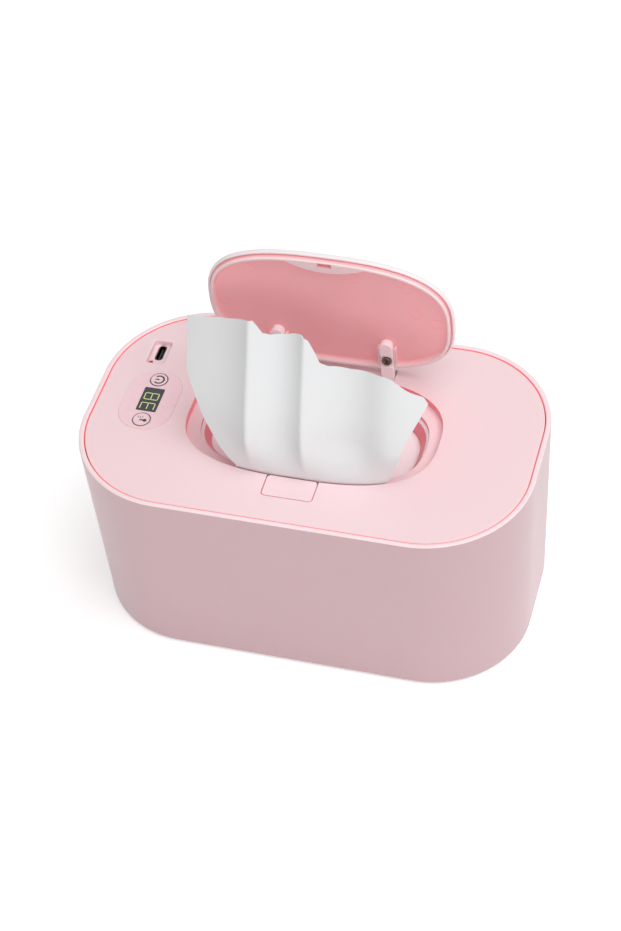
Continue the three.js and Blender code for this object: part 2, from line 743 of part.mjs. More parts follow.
place("thermal_fuse", "liner",
  crossRod(fuseRadius, fuseX - fuseLength / 2, fuseX + fuseLength / 2, fuseY, wellFloorZ + gap + fuseRadius));

function heaterLead() {
  const middle = boardZ + boardThickness / 2;
  const bend = leadRadius * 2;
  const points = [
    [boardRight + gap, middle], [leadX - bend, middle], [leadX, middle], [leadX, middle - bend],
    [leadX, filmTopZ + gap],
  ].map(([x, z]) => new THREE.Vector3(x, leadY, z));
  const path = new THREE.CurvePath();
  path.add(new THREE.LineCurve3(points[0], points[1]));
  path.add(new THREE.QuadraticBezierCurve3(points[1], points[2], points[3]));
  path.add(new THREE.LineCurve3(points[3], points[4]));
  return tube(path, leadRadius, cornerSteps, cornerSteps);
}
place("heater_lead", "black", heaterLead());

// Board, cut to the round of the cover and clear of the cover's posts, and its screws
function controlBoard() {
  const inside = prism(casingOutline(boardInset, coverZ), boardZ, boardTopZ);
  const span = box([-casingLength, boardRight], [boardFront, boardBack],
    [boardZ - overrun, boardTopZ + overrun]);
  const holes = boardHoles.map(([x, y]) =>
    rod(boardScrewRadius + gap, x, y, boardZ - overrun, boardTopZ + overrun));
  const notches = corners(coverScrewX, coverScrewY).map(([, x, y]) =>
    rod(postRadius + gap, x, y, boardZ - overrun, boardTopZ + overrun));
  return cut(common(inside, span), ...holes, ...notches);
}
place("control_board", "board", controlBoard());
for (const [index, [x, y]] of boardHoles.entries()) {
  place(`board_screw_${index + 1}`, "steel", join(
    rod(boardScrewHeadRadius, x, y, onBoardZ, onBoardZ + boardScrewHeadHeight),
    rod(boardScrewRadius, x, y, underZ + underPlate / 2 + gap, onBoardZ + boardScrewHeadHeight / 2)));
}

// Display, its window and the label round it
place("display_module", "black", prism(windowOutline(-gap), onBoardZ, onBoardZ + moduleHeight - gap));
place("display_window", "window", prism(windowOutline(0), onBoardZ + moduleHeight, coverZ + windowProud));
const labelZ = coverZ - labelPocket + gap / 2;
place("control_label", "label", cut(
  prism(labelOutline(0), labelZ, labelZ + labelThickness),
  prism(windowOutline(gap), labelZ - overrun, labelZ + overrun),
  ...keyPlaces.map(([, y]) =>
    rod(keyRadius + gap, panelX, y, labelZ - overrun, labelZ + overrun, 2 * roundSteps)),
));

// Keys, held under the plate by their flanges, over two switches
const keyZ = plateZ - gap - keyFlangeThickness;
for (const [name, y] of keyPlaces) {
  place(`${name}_button`, "label", join(
    rod(keyRadius, panelX, y, keyZ + keyFlangeThickness / 2, coverZ + keyProud, 2 * roundSteps),
    rod(keyRadius + keyFlange, panelX, y, keyZ, keyZ + keyFlangeThickness, 2 * roundSteps)));
  place(`${name}_switch`, "black", join(
    box(about(panelX, switchSide / 2), about(y, switchSide / 2), [onBoardZ, onBoardZ + switchHeight]),
    rod(plungerRadius, panelX, y, onBoardZ + switchHeight / 2, keyZ - slack)));
}

// USB-C socket standing on the board, with its mouth at the pocket's floor
function usbSocket() {
  const mouthZ = pocketZ - gap / 2;
  const backZ = mouthZ - usbMouthDepth;
  const bore = prism(usbOutline(usbWall), backZ, mouthZ + overrun);
  const can = cut(prism(usbOutline(0), onBoardZ, mouthZ), bore);
  const tongue = box(about(usbX, usbTongue / 2), about(usbY, usbTongueReach),
    [backZ - gap, mouthZ - usbTongueSetback]);
  return join(can, tongue);
}
place("usb_socket", "steel", usbSocket());
place("power_indicator", "light", rod(lightRadius, lightX, lightY, onBoardZ, pocketZ + gap / 2, cornerSteps));

// Hinge pins in the cover's bosses, and the spring round the left one
for (const [side, x, extra] of armPlaces) {
  const [left, right] = slotOf(x, extra);
  place(`hinge_pin_${side}`, "steel", crossRod(pinRadius, left - pinReach, right + pinReach, pivotY, pivotZ));
}
const lidSpringX = armPlaces[0][1] + armWidth / 2 + slack + springWire / 2;
place("lid_spring", "steel", spring("lid_spring", new Helix(
  lidSpringRadius, lidSpringSlot - springWire - gap, lidSpringTurns,
  (across, up, along) => new THREE.Vector3(lidSpringX + along, pivotY + across, pivotZ + up))));

// Latch: the button's stem ends in a ramp that pushes the hook's wedge away from the lid
function latchButton() {
  const backY = -recessHalfY - recessWall - gap;
  const flangeLowZ = plateZ - gap - latchFlangeThickness;
  const stemY = [-recessHalfY - stemFront, -recessHalfY - stemBack];
  const cap = prism(moved(roundedOutline(latchHalfX, latchReach / 2, latchCorner, smallSteps),
    0, latchFrontY + latchReach / 2), coverZ - latchCap, coverZ);
  const neck = box(about(0, latchHalfX), [latchFrontY + latchCorner, backY],
    [flangeLowZ + latchFlangeThickness / 2, coverZ - latchCap / 2]);
  const flange = box(about(0, latchHoleX + latchFlange), [latchFrontY - latchFlange, backY],
    [flangeLowZ, flangeLowZ + latchFlangeThickness]);
  const stem = sideView([
    [stemY[0], stemZ + stemY[1] - stemY[0]], [stemY[1], stemZ],
    [stemY[1], coverZ - latchCap / 2], [stemY[0], coverZ - latchCap / 2],
  ], -stemHalfX + gap, stemHalfX - gap);
  return join(cap, neck, flange, stem);
}
place("latch_button", "cover", latchButton());

function latchHook() {
  const rampSum = stemZ - recessHalfY - stemBack - slack; // y plus z, everywhere on the wedge's ramp
  const baseZ = hookZ + hookBase;
  const shoulderZ = ledgeLowZ - riserThickness; // the riser narrows above it to pass through the ledge
  const noseZ = lipZ + tabThickness + gap;
  const riserFront = riserY - riserThickness;
  const noseY = riserY + hookThickness;
  const slider = sideView([
    [latchFrontY, hookZ], [riserY, hookZ], [riserY, shoulderZ], [riserFront, shoulderZ], [riserFront, baseZ],
    [rampSum - baseZ, baseZ], [rampSum - wedgeZ, wedgeZ], [latchFrontY, wedgeZ],
  ], -stemHalfX, stemHalfX);
  const hook = sideView([
    [riserFront, hookZ], [riserY, hookZ], [riserY, ledgeLowZ],
    [noseY, ledgeLowZ + gap], [noseY, noseZ], [noseY + hookNose, noseZ],
    [noseY, noseZ + hookNose], [riserY, noseZ + hookNose], [riserY, ledgeZ], [riserFront, ledgeLowZ],
  ], -hookHalf, hookHalf);
  return join(slider, hook);
}
place("latch_hook", "liner", latchHook());
place("latch_spring", "steel", spring("latch_spring", new Helix(
  latchSpringRadius, latchSpringLength - springWire, latchSpringTurns,
  (across, up, along) =>
    new THREE.Vector3(across, springFrontY + springWire / 2 + along, (hookZ + wedgeZ) / 2 + up))));

// Lid: each piece is made in the shut lid's place, and the group turns them open about the hinge
function placeOnLid(name, finish, geometry) {
  place(name, finish, geometry.translate(0, -pivotY, -pivotZ), lid);
}

placeOnLid("lid_outer", "lid", stack([
  lidRing(lidBand, lidUnderZ),
  lidRing(lidBand, bandZ),
  lidRing(lidBand - lidBandFoot, bandZ),
  lidRing(0, bandZ + lidBandRise),
  lidRing(0, lidEdgeZ - lidEdgeRadius),
  lidRing(lidEdgeRadius / 3, lidEdgeZ - lidEdgeRadius / 3),
  lidRing(lidEdgeRadius, lidEdgeZ),
  lidRing(lidCrownInset, lidEdgeZ + lidCrown),
]));

// Tray: lip all round, tab with the catch slot, fins beside the arms, notches where the arms come in
function lidInner() {
  const outer = lidBand + lidSeam;
  const inner = outer + lipWidth;
  const tray = stack([
    lidRing(inner, trayZ),
    lidRing(inner, lipZ + lipRound),
    lidRing(inner - lipRound, lipZ),
    lidRing(outer + lipRound, lipZ),
    lidRing(outer, lipZ + lipRound),
    lidRing(outer, trayTopZ),
  ]);
  const lipMiddle = stack([
    lidRing(outer + lipWidth / 2, lipZ - overrun), lidRing(outer + lipWidth / 2, trayTopZ + overrun),
  ]);
  const tabRadius = (tabHalf ** 2 + tabSag ** 2) / (2 * tabSag);
  const tabEdgeY = -lidHalfY + inner;
  const bow = Array.from({ length: roundSteps + 1 }, (_, step) => {
    const x = tabHalf * (1 - (2 * step) / roundSteps);
    return [x, tabEdgeY + Math.sqrt(tabRadius ** 2 - x ** 2) - tabRadius + tabSag + lipRound];
  });
  const tabOutline = [[-tabHalf, -lidHalfY], [tabHalf, -lidHalfY], ...bow];
  const tab = common(prism(tabOutline, lipZ, lipZ + tabThickness), lipMiddle);
  const fins = armPlaces.flatMap(([, x]) => [-1, 1].map((side) => {
    const middle = x + side * (armWidth / 2 + gap + finThickness / 2);
    return common(box(about(middle, finThickness / 2), [lidHalfY - finReach, lidHalfY],
      [lipZ + finInset, (trayZ + trayTopZ) / 2]), lipMiddle);
  }));
  const tools = [box(about(0, catchHalf), [catchY, catchY + catchLength], [lipZ - overrun, trayZ])];
  for (const [, x] of armPlaces) {
    tools.push(box(about(x, armWidth / 2 + gap), [pivotY - armStep, lidHalfY],
      [lipZ - overrun, bandZ - gap]));
    tools.push(rod(armScrewRadius + gap, x, pivotY - armScrewReach, trayZ - overrun, trayTopZ + overrun));
  }
  return cut(join(tray, tab, ...fins), ...tools);
}
placeOnLid("lid_inner", "tray", lidInner());

// Arms: screwed into the tray, stepped down under the lip, and ending in the hinge's barrels
const armFaceZ = pivotZ - barrelRadius;
const armSeatZ = armFaceZ + armSeatRise;
function lidArm(x) {
  const endY = pivotY - armReach;
  const screwY = pivotY - armScrewReach;
  const neckZ = bandZ - slack;
  const profile = sideView([
    [endY, armFaceZ], [screwY - armSeatHalf, armFaceZ], [screwY - armSeatHalf, armSeatZ],
    [screwY + armSeatHalf, armSeatZ], [screwY + armSeatHalf, armFaceZ], [pivotY, armFaceZ],
    [pivotY, neckZ], [pivotY - armStep - gap, neckZ], [pivotY - armStep - gap, trayZ - gap],
    [endY, trayZ - gap],
  ], x - armWidth / 2, x + armWidth / 2);
  const half = (armReach + armWidth) / 2;
  const capsule = roundedOutline(armWidth / 2, half, armWidth / 2 - gap, smallSteps);
  const rounded = prism(moved(capsule, x, endY + half), armFaceZ - overrun, trayZ + overrun);
  const barrel = crossRod(barrelRadius, x - armWidth / 2, x + armWidth / 2, pivotY, pivotZ);
  return cut(
    join(common(profile, rounded), barrel),
    crossRod(pinRadius + gap, x - armWidth, x + armWidth, pivotY, pivotZ),
    rod(armScrewRadius + gap, x, screwY, armFaceZ - overrun, trayZ + overrun));
}
for (const [side, x] of armPlaces) {
  const screwY = pivotY - armScrewReach;
  const headTop = armSeatZ - gap;
  placeOnLid(`lid_arm_${side}`, "tray", lidArm(x));
  placeOnLid(`arm_screw_${side}`, "steel", join(
    rod(armScrewHeadRadius, x, screwY, headTop - armScrewHeadHeight, headTop),
    rod(armScrewRadius, x, screwY, headTop - armScrewHeadHeight / 2, trayTopZ - gap)));
}
lid.position.set(0, pivotY, pivotZ);
lid.rotation.x = THREE.MathUtils.degToRad(-openAngle);
warmer.add(lid);

// Wipe: a soft sheet that comes up through the outlet, bulges forward and stands in a few folds
function read(table, at, column = 1) {
  const found = table.findIndex(([mark], index) => index > 0 && at <= mark);
  const next = found < 0 ? table.length - 1 : found;
  const low = table[next - 1];
  const high = table[next];
  return low[column] + ((high[column] - low[column]) * (at - low[0])) / (high[0] - low[0]);
}

function wipe() {
  const rootZ = wellFloorZ - wipeHang;
  const wipeHeight = wipeHang + wipeLift + wipeRise;
  const wipeHalf = outletHalfX * wipeSpreadShare;
  const wipeRoot = outletHalfY - wipeRootInset;
  const wipeForward = holeHalfY - wipeFrontInset;
  const clearShare = (wipeHang + gap) / wipeHeight; // just above the well's floor
  const spine = new THREE.CatmullRomCurve3([
    new THREE.Vector3(0, -wipeRoot, rootZ),
    ...wipeSpineShares.map(([forward, height]) => new THREE.Vector3(
      0, -wipeRoot - forward * (wipeForward - wipeRoot), wellFloorZ + wipeLift + height * wipeRise)),
  ]);
  const heights = spine.getSpacedPoints(wipeSpineSteps).map((point, index) =>
    [(point.z - rootZ) / wipeHeight, index / wipeSpineSteps]);
  const positions = [];
  for (let row = 0; row <= wipeRows; row++) {
    for (let column = 0; column <= wipeColumns; column++) {
      const across = column / wipeColumns;
      const clear = read(heights, clearShare);
      const end = read(heights, read(wipeTopShares, across));
      const along = row && clear + (end - clear) * ((row - 1) / (wipeRows - 1)) ** wipeRowPower;
      const point = spine.getPointAt(along);
      const tangent = spine.getTangentAt(along);
      const height = (point.z - rootZ) / wipeHeight;
      const left = read(wipeLeftShares, height);
      const x = wipeHalf * (left + (read(wipeRightShares, height) - left) * across);
      const free = THREE.MathUtils.smoothstep(height, wipeFoldStartShare, wipeFoldFullShare);
      const folds = wipeFoldShares.reduce((sum, [middle, half, depth]) =>
        sum + depth * Math.exp(-(((across - middle) / half) ** 2)), 0);
      const bow = wipeBow * Math.abs(2 * across - 1) ** 3;
      for (const side of [1, -1]) {
        const out = free * wipeFold * folds + (side * wipeThickness) / 2;
        positions.push(x, point.y + free * bow - out * tangent.z, point.z + out * tangent.y);
      }
    }
  }
  const at = (row, column, side) => 2 * (row * (wipeColumns + 1) + column) + side;
  const faces = [];
  const quad = (first, second, third, fourth) => faces.push(first, second, third, first, third, fourth);
  for (let row = 0; row < wipeRows; row++) {
    for (let column = 0; column < wipeColumns; column++) {
      const [right, up] = [column + 1, row + 1];
      quad(at(row, column, 0), at(row, right, 0), at(up, right, 0), at(up, column, 0));
      quad(at(row, column, 1), at(up, column, 1), at(up, right, 1), at(row, right, 1));
    }
    quad(at(row, 0, 1), at(row, 0, 0), at(row + 1, 0, 0), at(row + 1, 0, 1));
    quad(at(row, wipeColumns, 0), at(row, wipeColumns, 1), at(row + 1, wipeColumns, 1),
      at(row + 1, wipeColumns, 0));
  }
  for (let column = 0; column < wipeColumns; column++) {
    quad(at(0, column, 0), at(0, column, 1), at(0, column + 1, 1), at(0, column + 1, 0));
    quad(at(wipeRows, column, 0), at(wipeRows, column + 1, 0), at(wipeRows, column + 1, 1),
      at(wipeRows, column, 1));
  }
  return meshOf(positions, faces);
}
place("wipe", "cloth", wipe());

export default warmer;
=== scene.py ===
import math

import bmesh
import bpy
from bpy.props import FloatProperty, FloatVectorProperty, PointerProperty
from mathutils import Matrix, Vector


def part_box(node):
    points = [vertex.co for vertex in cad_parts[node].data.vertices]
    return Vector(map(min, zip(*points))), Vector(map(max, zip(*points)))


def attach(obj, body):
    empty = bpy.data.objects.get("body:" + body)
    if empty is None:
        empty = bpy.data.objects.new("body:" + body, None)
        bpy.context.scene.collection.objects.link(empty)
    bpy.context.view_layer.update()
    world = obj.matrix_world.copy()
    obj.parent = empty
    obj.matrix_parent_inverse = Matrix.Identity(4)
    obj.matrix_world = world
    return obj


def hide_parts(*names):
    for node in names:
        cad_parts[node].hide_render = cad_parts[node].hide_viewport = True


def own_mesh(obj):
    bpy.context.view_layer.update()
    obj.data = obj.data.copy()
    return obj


bl_info = {
    "name": "Baby wipe warmer",
    "version": (1, 0, 0),
    "blender": (4, 5, 0),
    "location": "View3D > Sidebar > Wipe warmer",
    "description": "Builds the surfaces of a baby wipe warmer around its frame",
    "category": "Add Mesh",
}

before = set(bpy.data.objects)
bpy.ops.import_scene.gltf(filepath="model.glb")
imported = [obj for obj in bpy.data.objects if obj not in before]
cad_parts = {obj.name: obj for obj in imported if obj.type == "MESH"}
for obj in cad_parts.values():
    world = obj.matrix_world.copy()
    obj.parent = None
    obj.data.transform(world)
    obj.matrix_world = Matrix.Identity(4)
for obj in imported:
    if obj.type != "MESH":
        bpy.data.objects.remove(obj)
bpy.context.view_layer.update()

# Places read from the frame
shell_low, shell_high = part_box("outer_shell")
tub_low, tub_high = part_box("inner_tub")
cover_low, cover_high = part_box("top_cover")
under_low, under_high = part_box("under_cover")
label_low, label_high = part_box("control_label")
window_low, window_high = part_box("display_window")
socket_low, socket_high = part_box("usb_socket")
lamp_low, lamp_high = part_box("power_indicator")
button_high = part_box("latch_button")[1]
pin_low, pin_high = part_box("hinge_pin_left")
half_length = shell_high.x
half_depth = shell_high.y
rim_z = shell_high.z
cover_z = cover_high.z
panel = (label_low + label_high) / 2
pivot = Vector((0, (pin_low.y + pin_high.y) / 2, (pin_low.z + pin_high.z) / 2))

# Turns X, Y and Z into Y, Z and X
ALONG_X = Matrix(((0, 0, 1, 0), (1, 0, 0, 0), (0, 1, 0, 0), (0, 0, 0, 1)))

# Nodes that one piece stands for together
ENDS = [depth + "_" + side for depth in ("front", "rear") for side in ("left", "right")]
FOOT_NODES = ["foot_" + end for end in ENDS]
COVER_SCREWS = ["cover_screw_" + end for end in ENDS]
BOARD_SCREWS = [f"board_screw_{number}" for number in (1, 2, 3)]

# Points round an outline's corner, an oval, a circle and a section's corner
CORNER_STEPS = 20
OVAL_STEPS = 192
ROUND_STEPS = 40
EDGE_STEPS = 3
# How far a cutting shape goes past what it cuts
OVERRUN = 0.003

# Smaller sizes, piece by piece. Casing and feet
RIB_SPREAD_SHARE = 0.8  # outer ribs, as a share of the straight side
FOOT_EDGES = (0.0006, 0.0002)  # lower and upper rounding
FOOT_DISH_SHARE = 0.55  # hollow under a foot, as a share of its radius
FOOT_DISH = 0.0003
# Cover
RECESS_EDGE = 0.0005
BOSS_ROOM = 0.0042  # a hinge boss past its slot, to each side
BOSS_REACH = 0.003  # behind the pins
BOSS_DROP = 0.004  # below the pins
PIN_BORE = 0.0013
PIN_ROOM = 0.0033  # pin's hole past the slot
SCREW_BORE = 0.0016
POCKET_WALL = 0.0012
POCKET_EDGE = 0.0008
POCKET_SHIFT = (0.0004, -0.0022)  # from the socket's middle
SOCKET_CUT = 0.002  # how far up the socket's hole is cut
LAMP_BORE = 0.0009
PRINT_GAP = 0.00006  # round the label and the window
PRINT_EDGE = 0.00008
LABEL_SINK = 0.0004  # the label's bed under the cover's top
LATCH_EDGE = 0.0002
LATCH_DROP = 0.0035  # depth of the opening's rear part
LATCH_BACK = 0.002  # how far the opening runs past the recess's edge
HOOK_HOLE = (0.0033, (-0.031, -0.027), 0.0015)  # half width, span along Y, and top over the ledge
# Blocks and slots: half width, span along Y, and span over a level
HOOK_GUIDE = (0.0055, (-0.0448, -0.0282), (-0.0009, 0.0036))
GUIDE_SLOT = (0.0041, (-0.0462, -0.0282), (0.0007, 0.006))
SPRING_STOP = (0.0023, (-0.0514, -0.05), (-0.0009, 0.006))
# Well
WELL_FILLET = 0.0024
WELL_EDGE = 0.0004  # rounding at the well's mouth
OUTLET_EDGE = 0.0007
# Lid
PLATE_DROP = 0.0009  # the plate's inner face under its edge
LID_RISE = 0.001  # the lid's edge over the cover
CROWN_REACH = 0.012  # how far in the crown rises
CROWN_SHARES = (0.15, 0.3, 0.45, 0.6, 0.8, 1)
BAND_ROUND = 0.0003  # inner edge of the band
BAND_EDGES = (0.0004, 0.0007)  # outer edge of the band, inwards and up
TRAY_FILLET = 0.0014
TRAY_SHADE = 0.0001  # where the painted shade is full, under the floor
TAB_THICKNESS = 0.0012
TAB_EDGES = (0.0004, 0.0002)
TAB_INSET = 0.00075  # the tab's straight edge from the lip's middle
TAB_SINK = 0.0004  # how far the bow goes into the tab
CATCH_SLOT = (0.0031, (-0.0296, -0.0271))  # half width, and span along Y
CATCH_SLOT_SINK = 0.0003
FIN_PLACE = 0.00365  # a fin from the middle of its arm
FIN_HALF = 0.00055
FIN_SPAN = (0.0168, 0.0318)
FIN_SINK = 0.0004
ARM_SLOT_SPAN = (0.0262, 0.0318)  # where an arm passes under the lip, along Y
ARM_SLOT_DEPTH = 0.0017
# Ejector marks in the tray, in millimetres
EJECTOR_MARKS = [(-35, -19), (-48, 2), (12, -21), (35, -19), (47, 0), (38, -4.5), (34, 21.5), (16, 23)]
MARK_RADII = (0.0029, 0.0025)  # outside and inside of an ejector mark's ring
MARK_DEPTH = 0.0002
# A screw: head section in shares of its radius and height, thread and tip in shares of the shank's
# radius, and its cross: width and foot in shares of its reach, and depth as a share of the head's height
HEAD_SHARES = [(0.55, 0), (0.86, 0.12), (1, 0.42), (1, 1)]
THREAD_SHARE = 0.8
TIP_SHARE = 0.25
CROSS_SHARES = (0.3, 0.45, 0.62)
CROSS_START = 0.0002
# Screws: head radius, head height and shank radius
COVER_SCREW = (0.0025, 0.0016, 0.0013)
BOARD_SCREW = (0.0019, 0.0012, 0.001)
ARM_SCREW = (0.00225, 0.0013, 0.0011)
ARM_SCREW_LENGTH = 0.0048
ARM_SCREW_CROSS_SHARE = 0.62
# Hinge arms
ARM_SCREW_Y = 0.0234
ARM_SCREW_BORE = 0.0014
ARM_SCREW_SINK = 0.0004
ARM_STEP = 0.0012  # height of the step over the lip
ARM_STEP_SPAN = (0.0202, 0.0266)
ARM_HEIGHT = 0.0036
ARM_NECK_Y = 0.0259
ARM_NECK_RISE = 0.0004  # top of the neck over the pins
ARM_TAIL = 0.004  # the arm's plan past the pins
ARM_EDGE = 0.00045
ARM_BORE = 0.0013
PIN_EDGE = 0.0002
# Latch. Side views hold Y and Z
BUTTON_THICKNESS = 0.002
BUTTON_EDGE = 0.00035
BUTTON_NECK_END = -0.0345
BUTTON_NECK_SPAN = (-0.0031, -0.001)
# The button's flange: how far it goes past the button, its span along Y, and its span under the top
BUTTON_FLANGE = (0.0013, (-0.0448, -0.0345), (-0.0037, -0.0025))
STEM_HALF = 0.0033
STEM_SIDE = [(-0.0407, 0.089), (-0.0367, 0.085), (-0.0367, 0.0926), (-0.0407, 0.0926)]
SLIDER_HALF = 0.0036
SLIDER_SIDE = [(-0.0438, 0.082), (-0.0283, 0.082), (-0.0283, 0.0866), (-0.0295, 0.0866),
               (-0.0295, 0.0836), (-0.0358, 0.0836), (-0.0392, 0.087), (-0.0438, 0.087)]
HOOK_HALF = 0.0028
HOOK_SIDE = [(-0.0295, 0.082), (-0.0283, 0.082), (-0.0283, 0.0878), (-0.0275, 0.0881), (-0.0275, 0.0914),
             (-0.0267, 0.0914), (-0.0275, 0.0922), (-0.0283, 0.0922), (-0.0283, 0.0896), (-0.0295, 0.0878)]
# Keys, digits and socket
LABEL_EDGE = 0.00012
PANE_EDGE = 0.00015
KEY_EDGE = 0.0003
KEY_GAP = 0.0001
KEY_FLANGE = (0.0009, 0.0008)  # past the key, and thickness
KEY_STEPS = 64
DIGIT_TALL = 0.0031
DIGIT_WIDE = 0.0038
DIGIT_LINE = 0.00042
DIGIT_GAP_SHARE = 0.35  # gap at a bar's end, as a share of its line
DIGIT_RISE = (0.00001, 0.00006)  # foot and top of a bar over the window
DIGIT_PLACES = (-0.0042, 0.0018)
WINDOW_CORNER = 0.0005
SOCKET_FLAT = 0.00015  # flat at the middle of the socket's ends
SOCKET_SHELL = 0.0003
SOCKET_DEPTH = 0.005
TONGUE_HALF = (0.00035, 0.0033)
TONGUE_TOP = 0.0008
TONGUE_ROOT = 0.0053
SOCKET_FLOOR = (0.0049, 0.0047)  # foot and top under the mouth
SOCKET_FLOOR_INSET = 0.00032
LAMP_ROUND_SHARE = 0.5
# Textures
INK_EDGE = 0.00003
PATCH_SCALE = 45.0
GRAIN_HEIGHT = 0.00005
FIBRE_HEIGHT = 0.0001


def length(name, description, default):
    return FloatProperty(name=name, description=description, default=default, unit="LENGTH", precision=5)


def linear(red, green, blue):
    """Scene-linear colour of an sRGB colour given from 0 to 255."""
    shares = [value / 255 for value in (red, green, blue)]
    return tuple(v / 12.92 if v <= 0.04045 else ((v + 0.055) / 1.055) ** 2.4 for v in shares)


def colour(name, description, *srgb):
    return FloatVectorProperty(name=name, description=description, subtype="COLOR", size=3, min=0, max=1,
                               default=linear(*srgb))


class WarmerSizes(bpy.types.PropertyGroup):
    """Sizes of the warmer's pieces"""

    gap: length("Gap", "Clearance between pieces that touch", 0.0003)
    slack: length("Slack", "Clearance round a piece that moves in an opening", 0.0005)
    corner_radius: length("Corner radius", "Upright corners of the casing at its rim", 0.046)
    draft: length("Draft", "How much each side comes in from the rim to the floor", 0.0025)
    wall: length("Casing wall", "Thickness of the casing", 0.0024)
    rim_round: length("Rim rounding", "Rounded edges of the rim", 0.0009)
    foot_round: length("Foot rounding", "Rounded lower edge of the casing", 0.0012)
    seam_depth: length("Seam depth", "How far down the seam round the cover shows its deep colour", 0.002)
    rib_depth: length("Rib depth", "How far the ribs inside stand off the wall", 0.003)
    rib_width: length("Rib width", "Thickness of a rib", 0.002)
    rib_height: length("Rib height", "Height of a rib", 0.012)
    tub_wall: length("Tub wall", "Thickness of the tub and its flange", 0.0016)
    foam: length("Foam", "Thickness of the insulation round the tub", 0.003)
    foot_radius: length("Foot radius", "Radius of a rubber foot", 0.007)
    cover_plate: length("Cover plate", "Thickness of the cover", 0.0022)
    cover_edge: length("Cover edge", "Rounded edge of the cover", 0.0006)
    skirt: length("Skirt", "Thickness of the skirt under the cover", 0.0018)
    post_radius: length("Post radius", "Radius of the screw posts", 0.0032)
    post_x: length("Post place along X", "Cover screws from the middle", 0.062)
    post_y: length("Post place along Y", "Cover screws from the middle", 0.044)
    recess_half_x: length("Recess half length", "Oval recess that the lid shuts into", 0.0554)
    recess_half_y: length("Recess half width", "Oval recess that the lid shuts into", 0.0324)
    recess_depth: length("Recess depth", "Down to the ledge", 0.004)
    ledge: length("Ledge", "Thickness of the recess's wall and ledge", 0.0018)
    hole_half_x: length("Hole half length", "Oval hole inside the ledge", 0.0496)
    hole_half_y: length("Hole half width", "Oval hole inside the ledge", 0.0264)
    well_floor: length("Well floor", "Thickness of the under cover", 0.0018)
    well_taper: length("Well taper", "How much the well narrows to its floor", 0.0036)
    well_wall: length("Well wall", "Thickness of the well's wall", 0.0015)
    outlet_half_x: length("Outlet half length", "Slot that the wipes come out of", 0.037)
    outlet_half_y: length("Outlet half width", "Slot that the wipes come out of", 0.0065)
    lid_gap: length("Lid gap", "Between the lid and its recess", 0.0006)
    lid_edge_height: length("Lid edge height", "From the foot of the band to the crown", 0.0027)
    lid_edge: length("Lid edge", "Rounded edge of the lid", 0.0013)
    lid_crown: length("Lid crown", "How far the lid's middle rises", 0.0006)
    lid_band: length("Lid band", "Width of the band round the lid's inside", 0.001)
    lid_seam: length("Lid seam", "Groove between the band and the tray's lip", 0.0007)
    lip_width: length("Lip width", "Width of the tray's rounded lip", 0.0015)
    lip_stand: length("Lip stand", "How far the lip stands past the band", 0.002)
    tray_depth: length("Tray depth", "From the lip to the tray's floor", 0.0027)
    tab_half: length("Tab half length", "Tab with the catch's slot", 0.017)
    tab_sag: length("Tab sag", "How far the tab's edge bows to the middle", 0.004)
    arm_x: length("Arm place", "Hinge arm from the middle", 0.0244)
    arm_width: length("Arm width", "Width of a hinge arm", 0.0056)
    arm_reach: length("Arm reach", "From the pivot to the arm's round end", 0.0232)
    barrel_radius: length("Barrel radius", "Round end of the arm on its pin", 0.0023)
    latch_half: length("Latch half length", "Half length of the latch button", 0.011)
    latch_reach: length("Latch reach", "Button's front edge from the recess", 0.0114)
    latch_corner: length("Latch corner", "Corner radius of the latch button", 0.0016)
    label_corner: length("Label corner", "Corner radius of the control label", 0.0115)
    key_radius: length("Key radius", "Radius of a round key", 0.0041)
    key_reach: length("Key reach", "Key's centre from the panel's centre", 0.0124)
    pocket_length: length("Pocket length", "Pocket round the socket", 0.0141)
    pocket_width: length("Pocket width", "Pocket round the socket", 0.0082)
    pocket_depth: length("Pocket depth", "Down to the socket's mouth", 0.003)
    pocket_corner: length("Pocket corner", "Corner radius of the pocket", 0.0014)
    spring_wire: length("Spring wire", "Diameter of the springs' wire", 0.0005)
    wipe_thickness: length("Wipe thickness", "Thickness of the wipe", 0.0005)
    # The glows below are painted light: emission on faces in shade at the seams, on the rim's inner wall, on
    # the recess's wall and in the open lid's tray
    painted_seam_glow: FloatProperty(name="Seam glow", description="Light that thin plastic lets through at a seam",
                             default=0.3)
    wall_light: FloatProperty(name="Wall light", description="Share of the seam's glow on the recess's wall",
                              default=0.23)
    painted_rim_glow: FloatProperty(name="Rim glow", description="Light that the casing's rim lets through inside",
                            default=0.12)
    painted_tray_glow: FloatProperty(name="Tray glow", description="Light that the open lid lets through",
                             default=0.1)
    oval_power: FloatProperty(name="Oval power", description="Exponent of the ovals' superellipse",
                              default=2.75)
    open_angle: FloatProperty(name="Open angle", description="Lid's angle at rest", subtype="ANGLE",
                              default=math.radians(88))


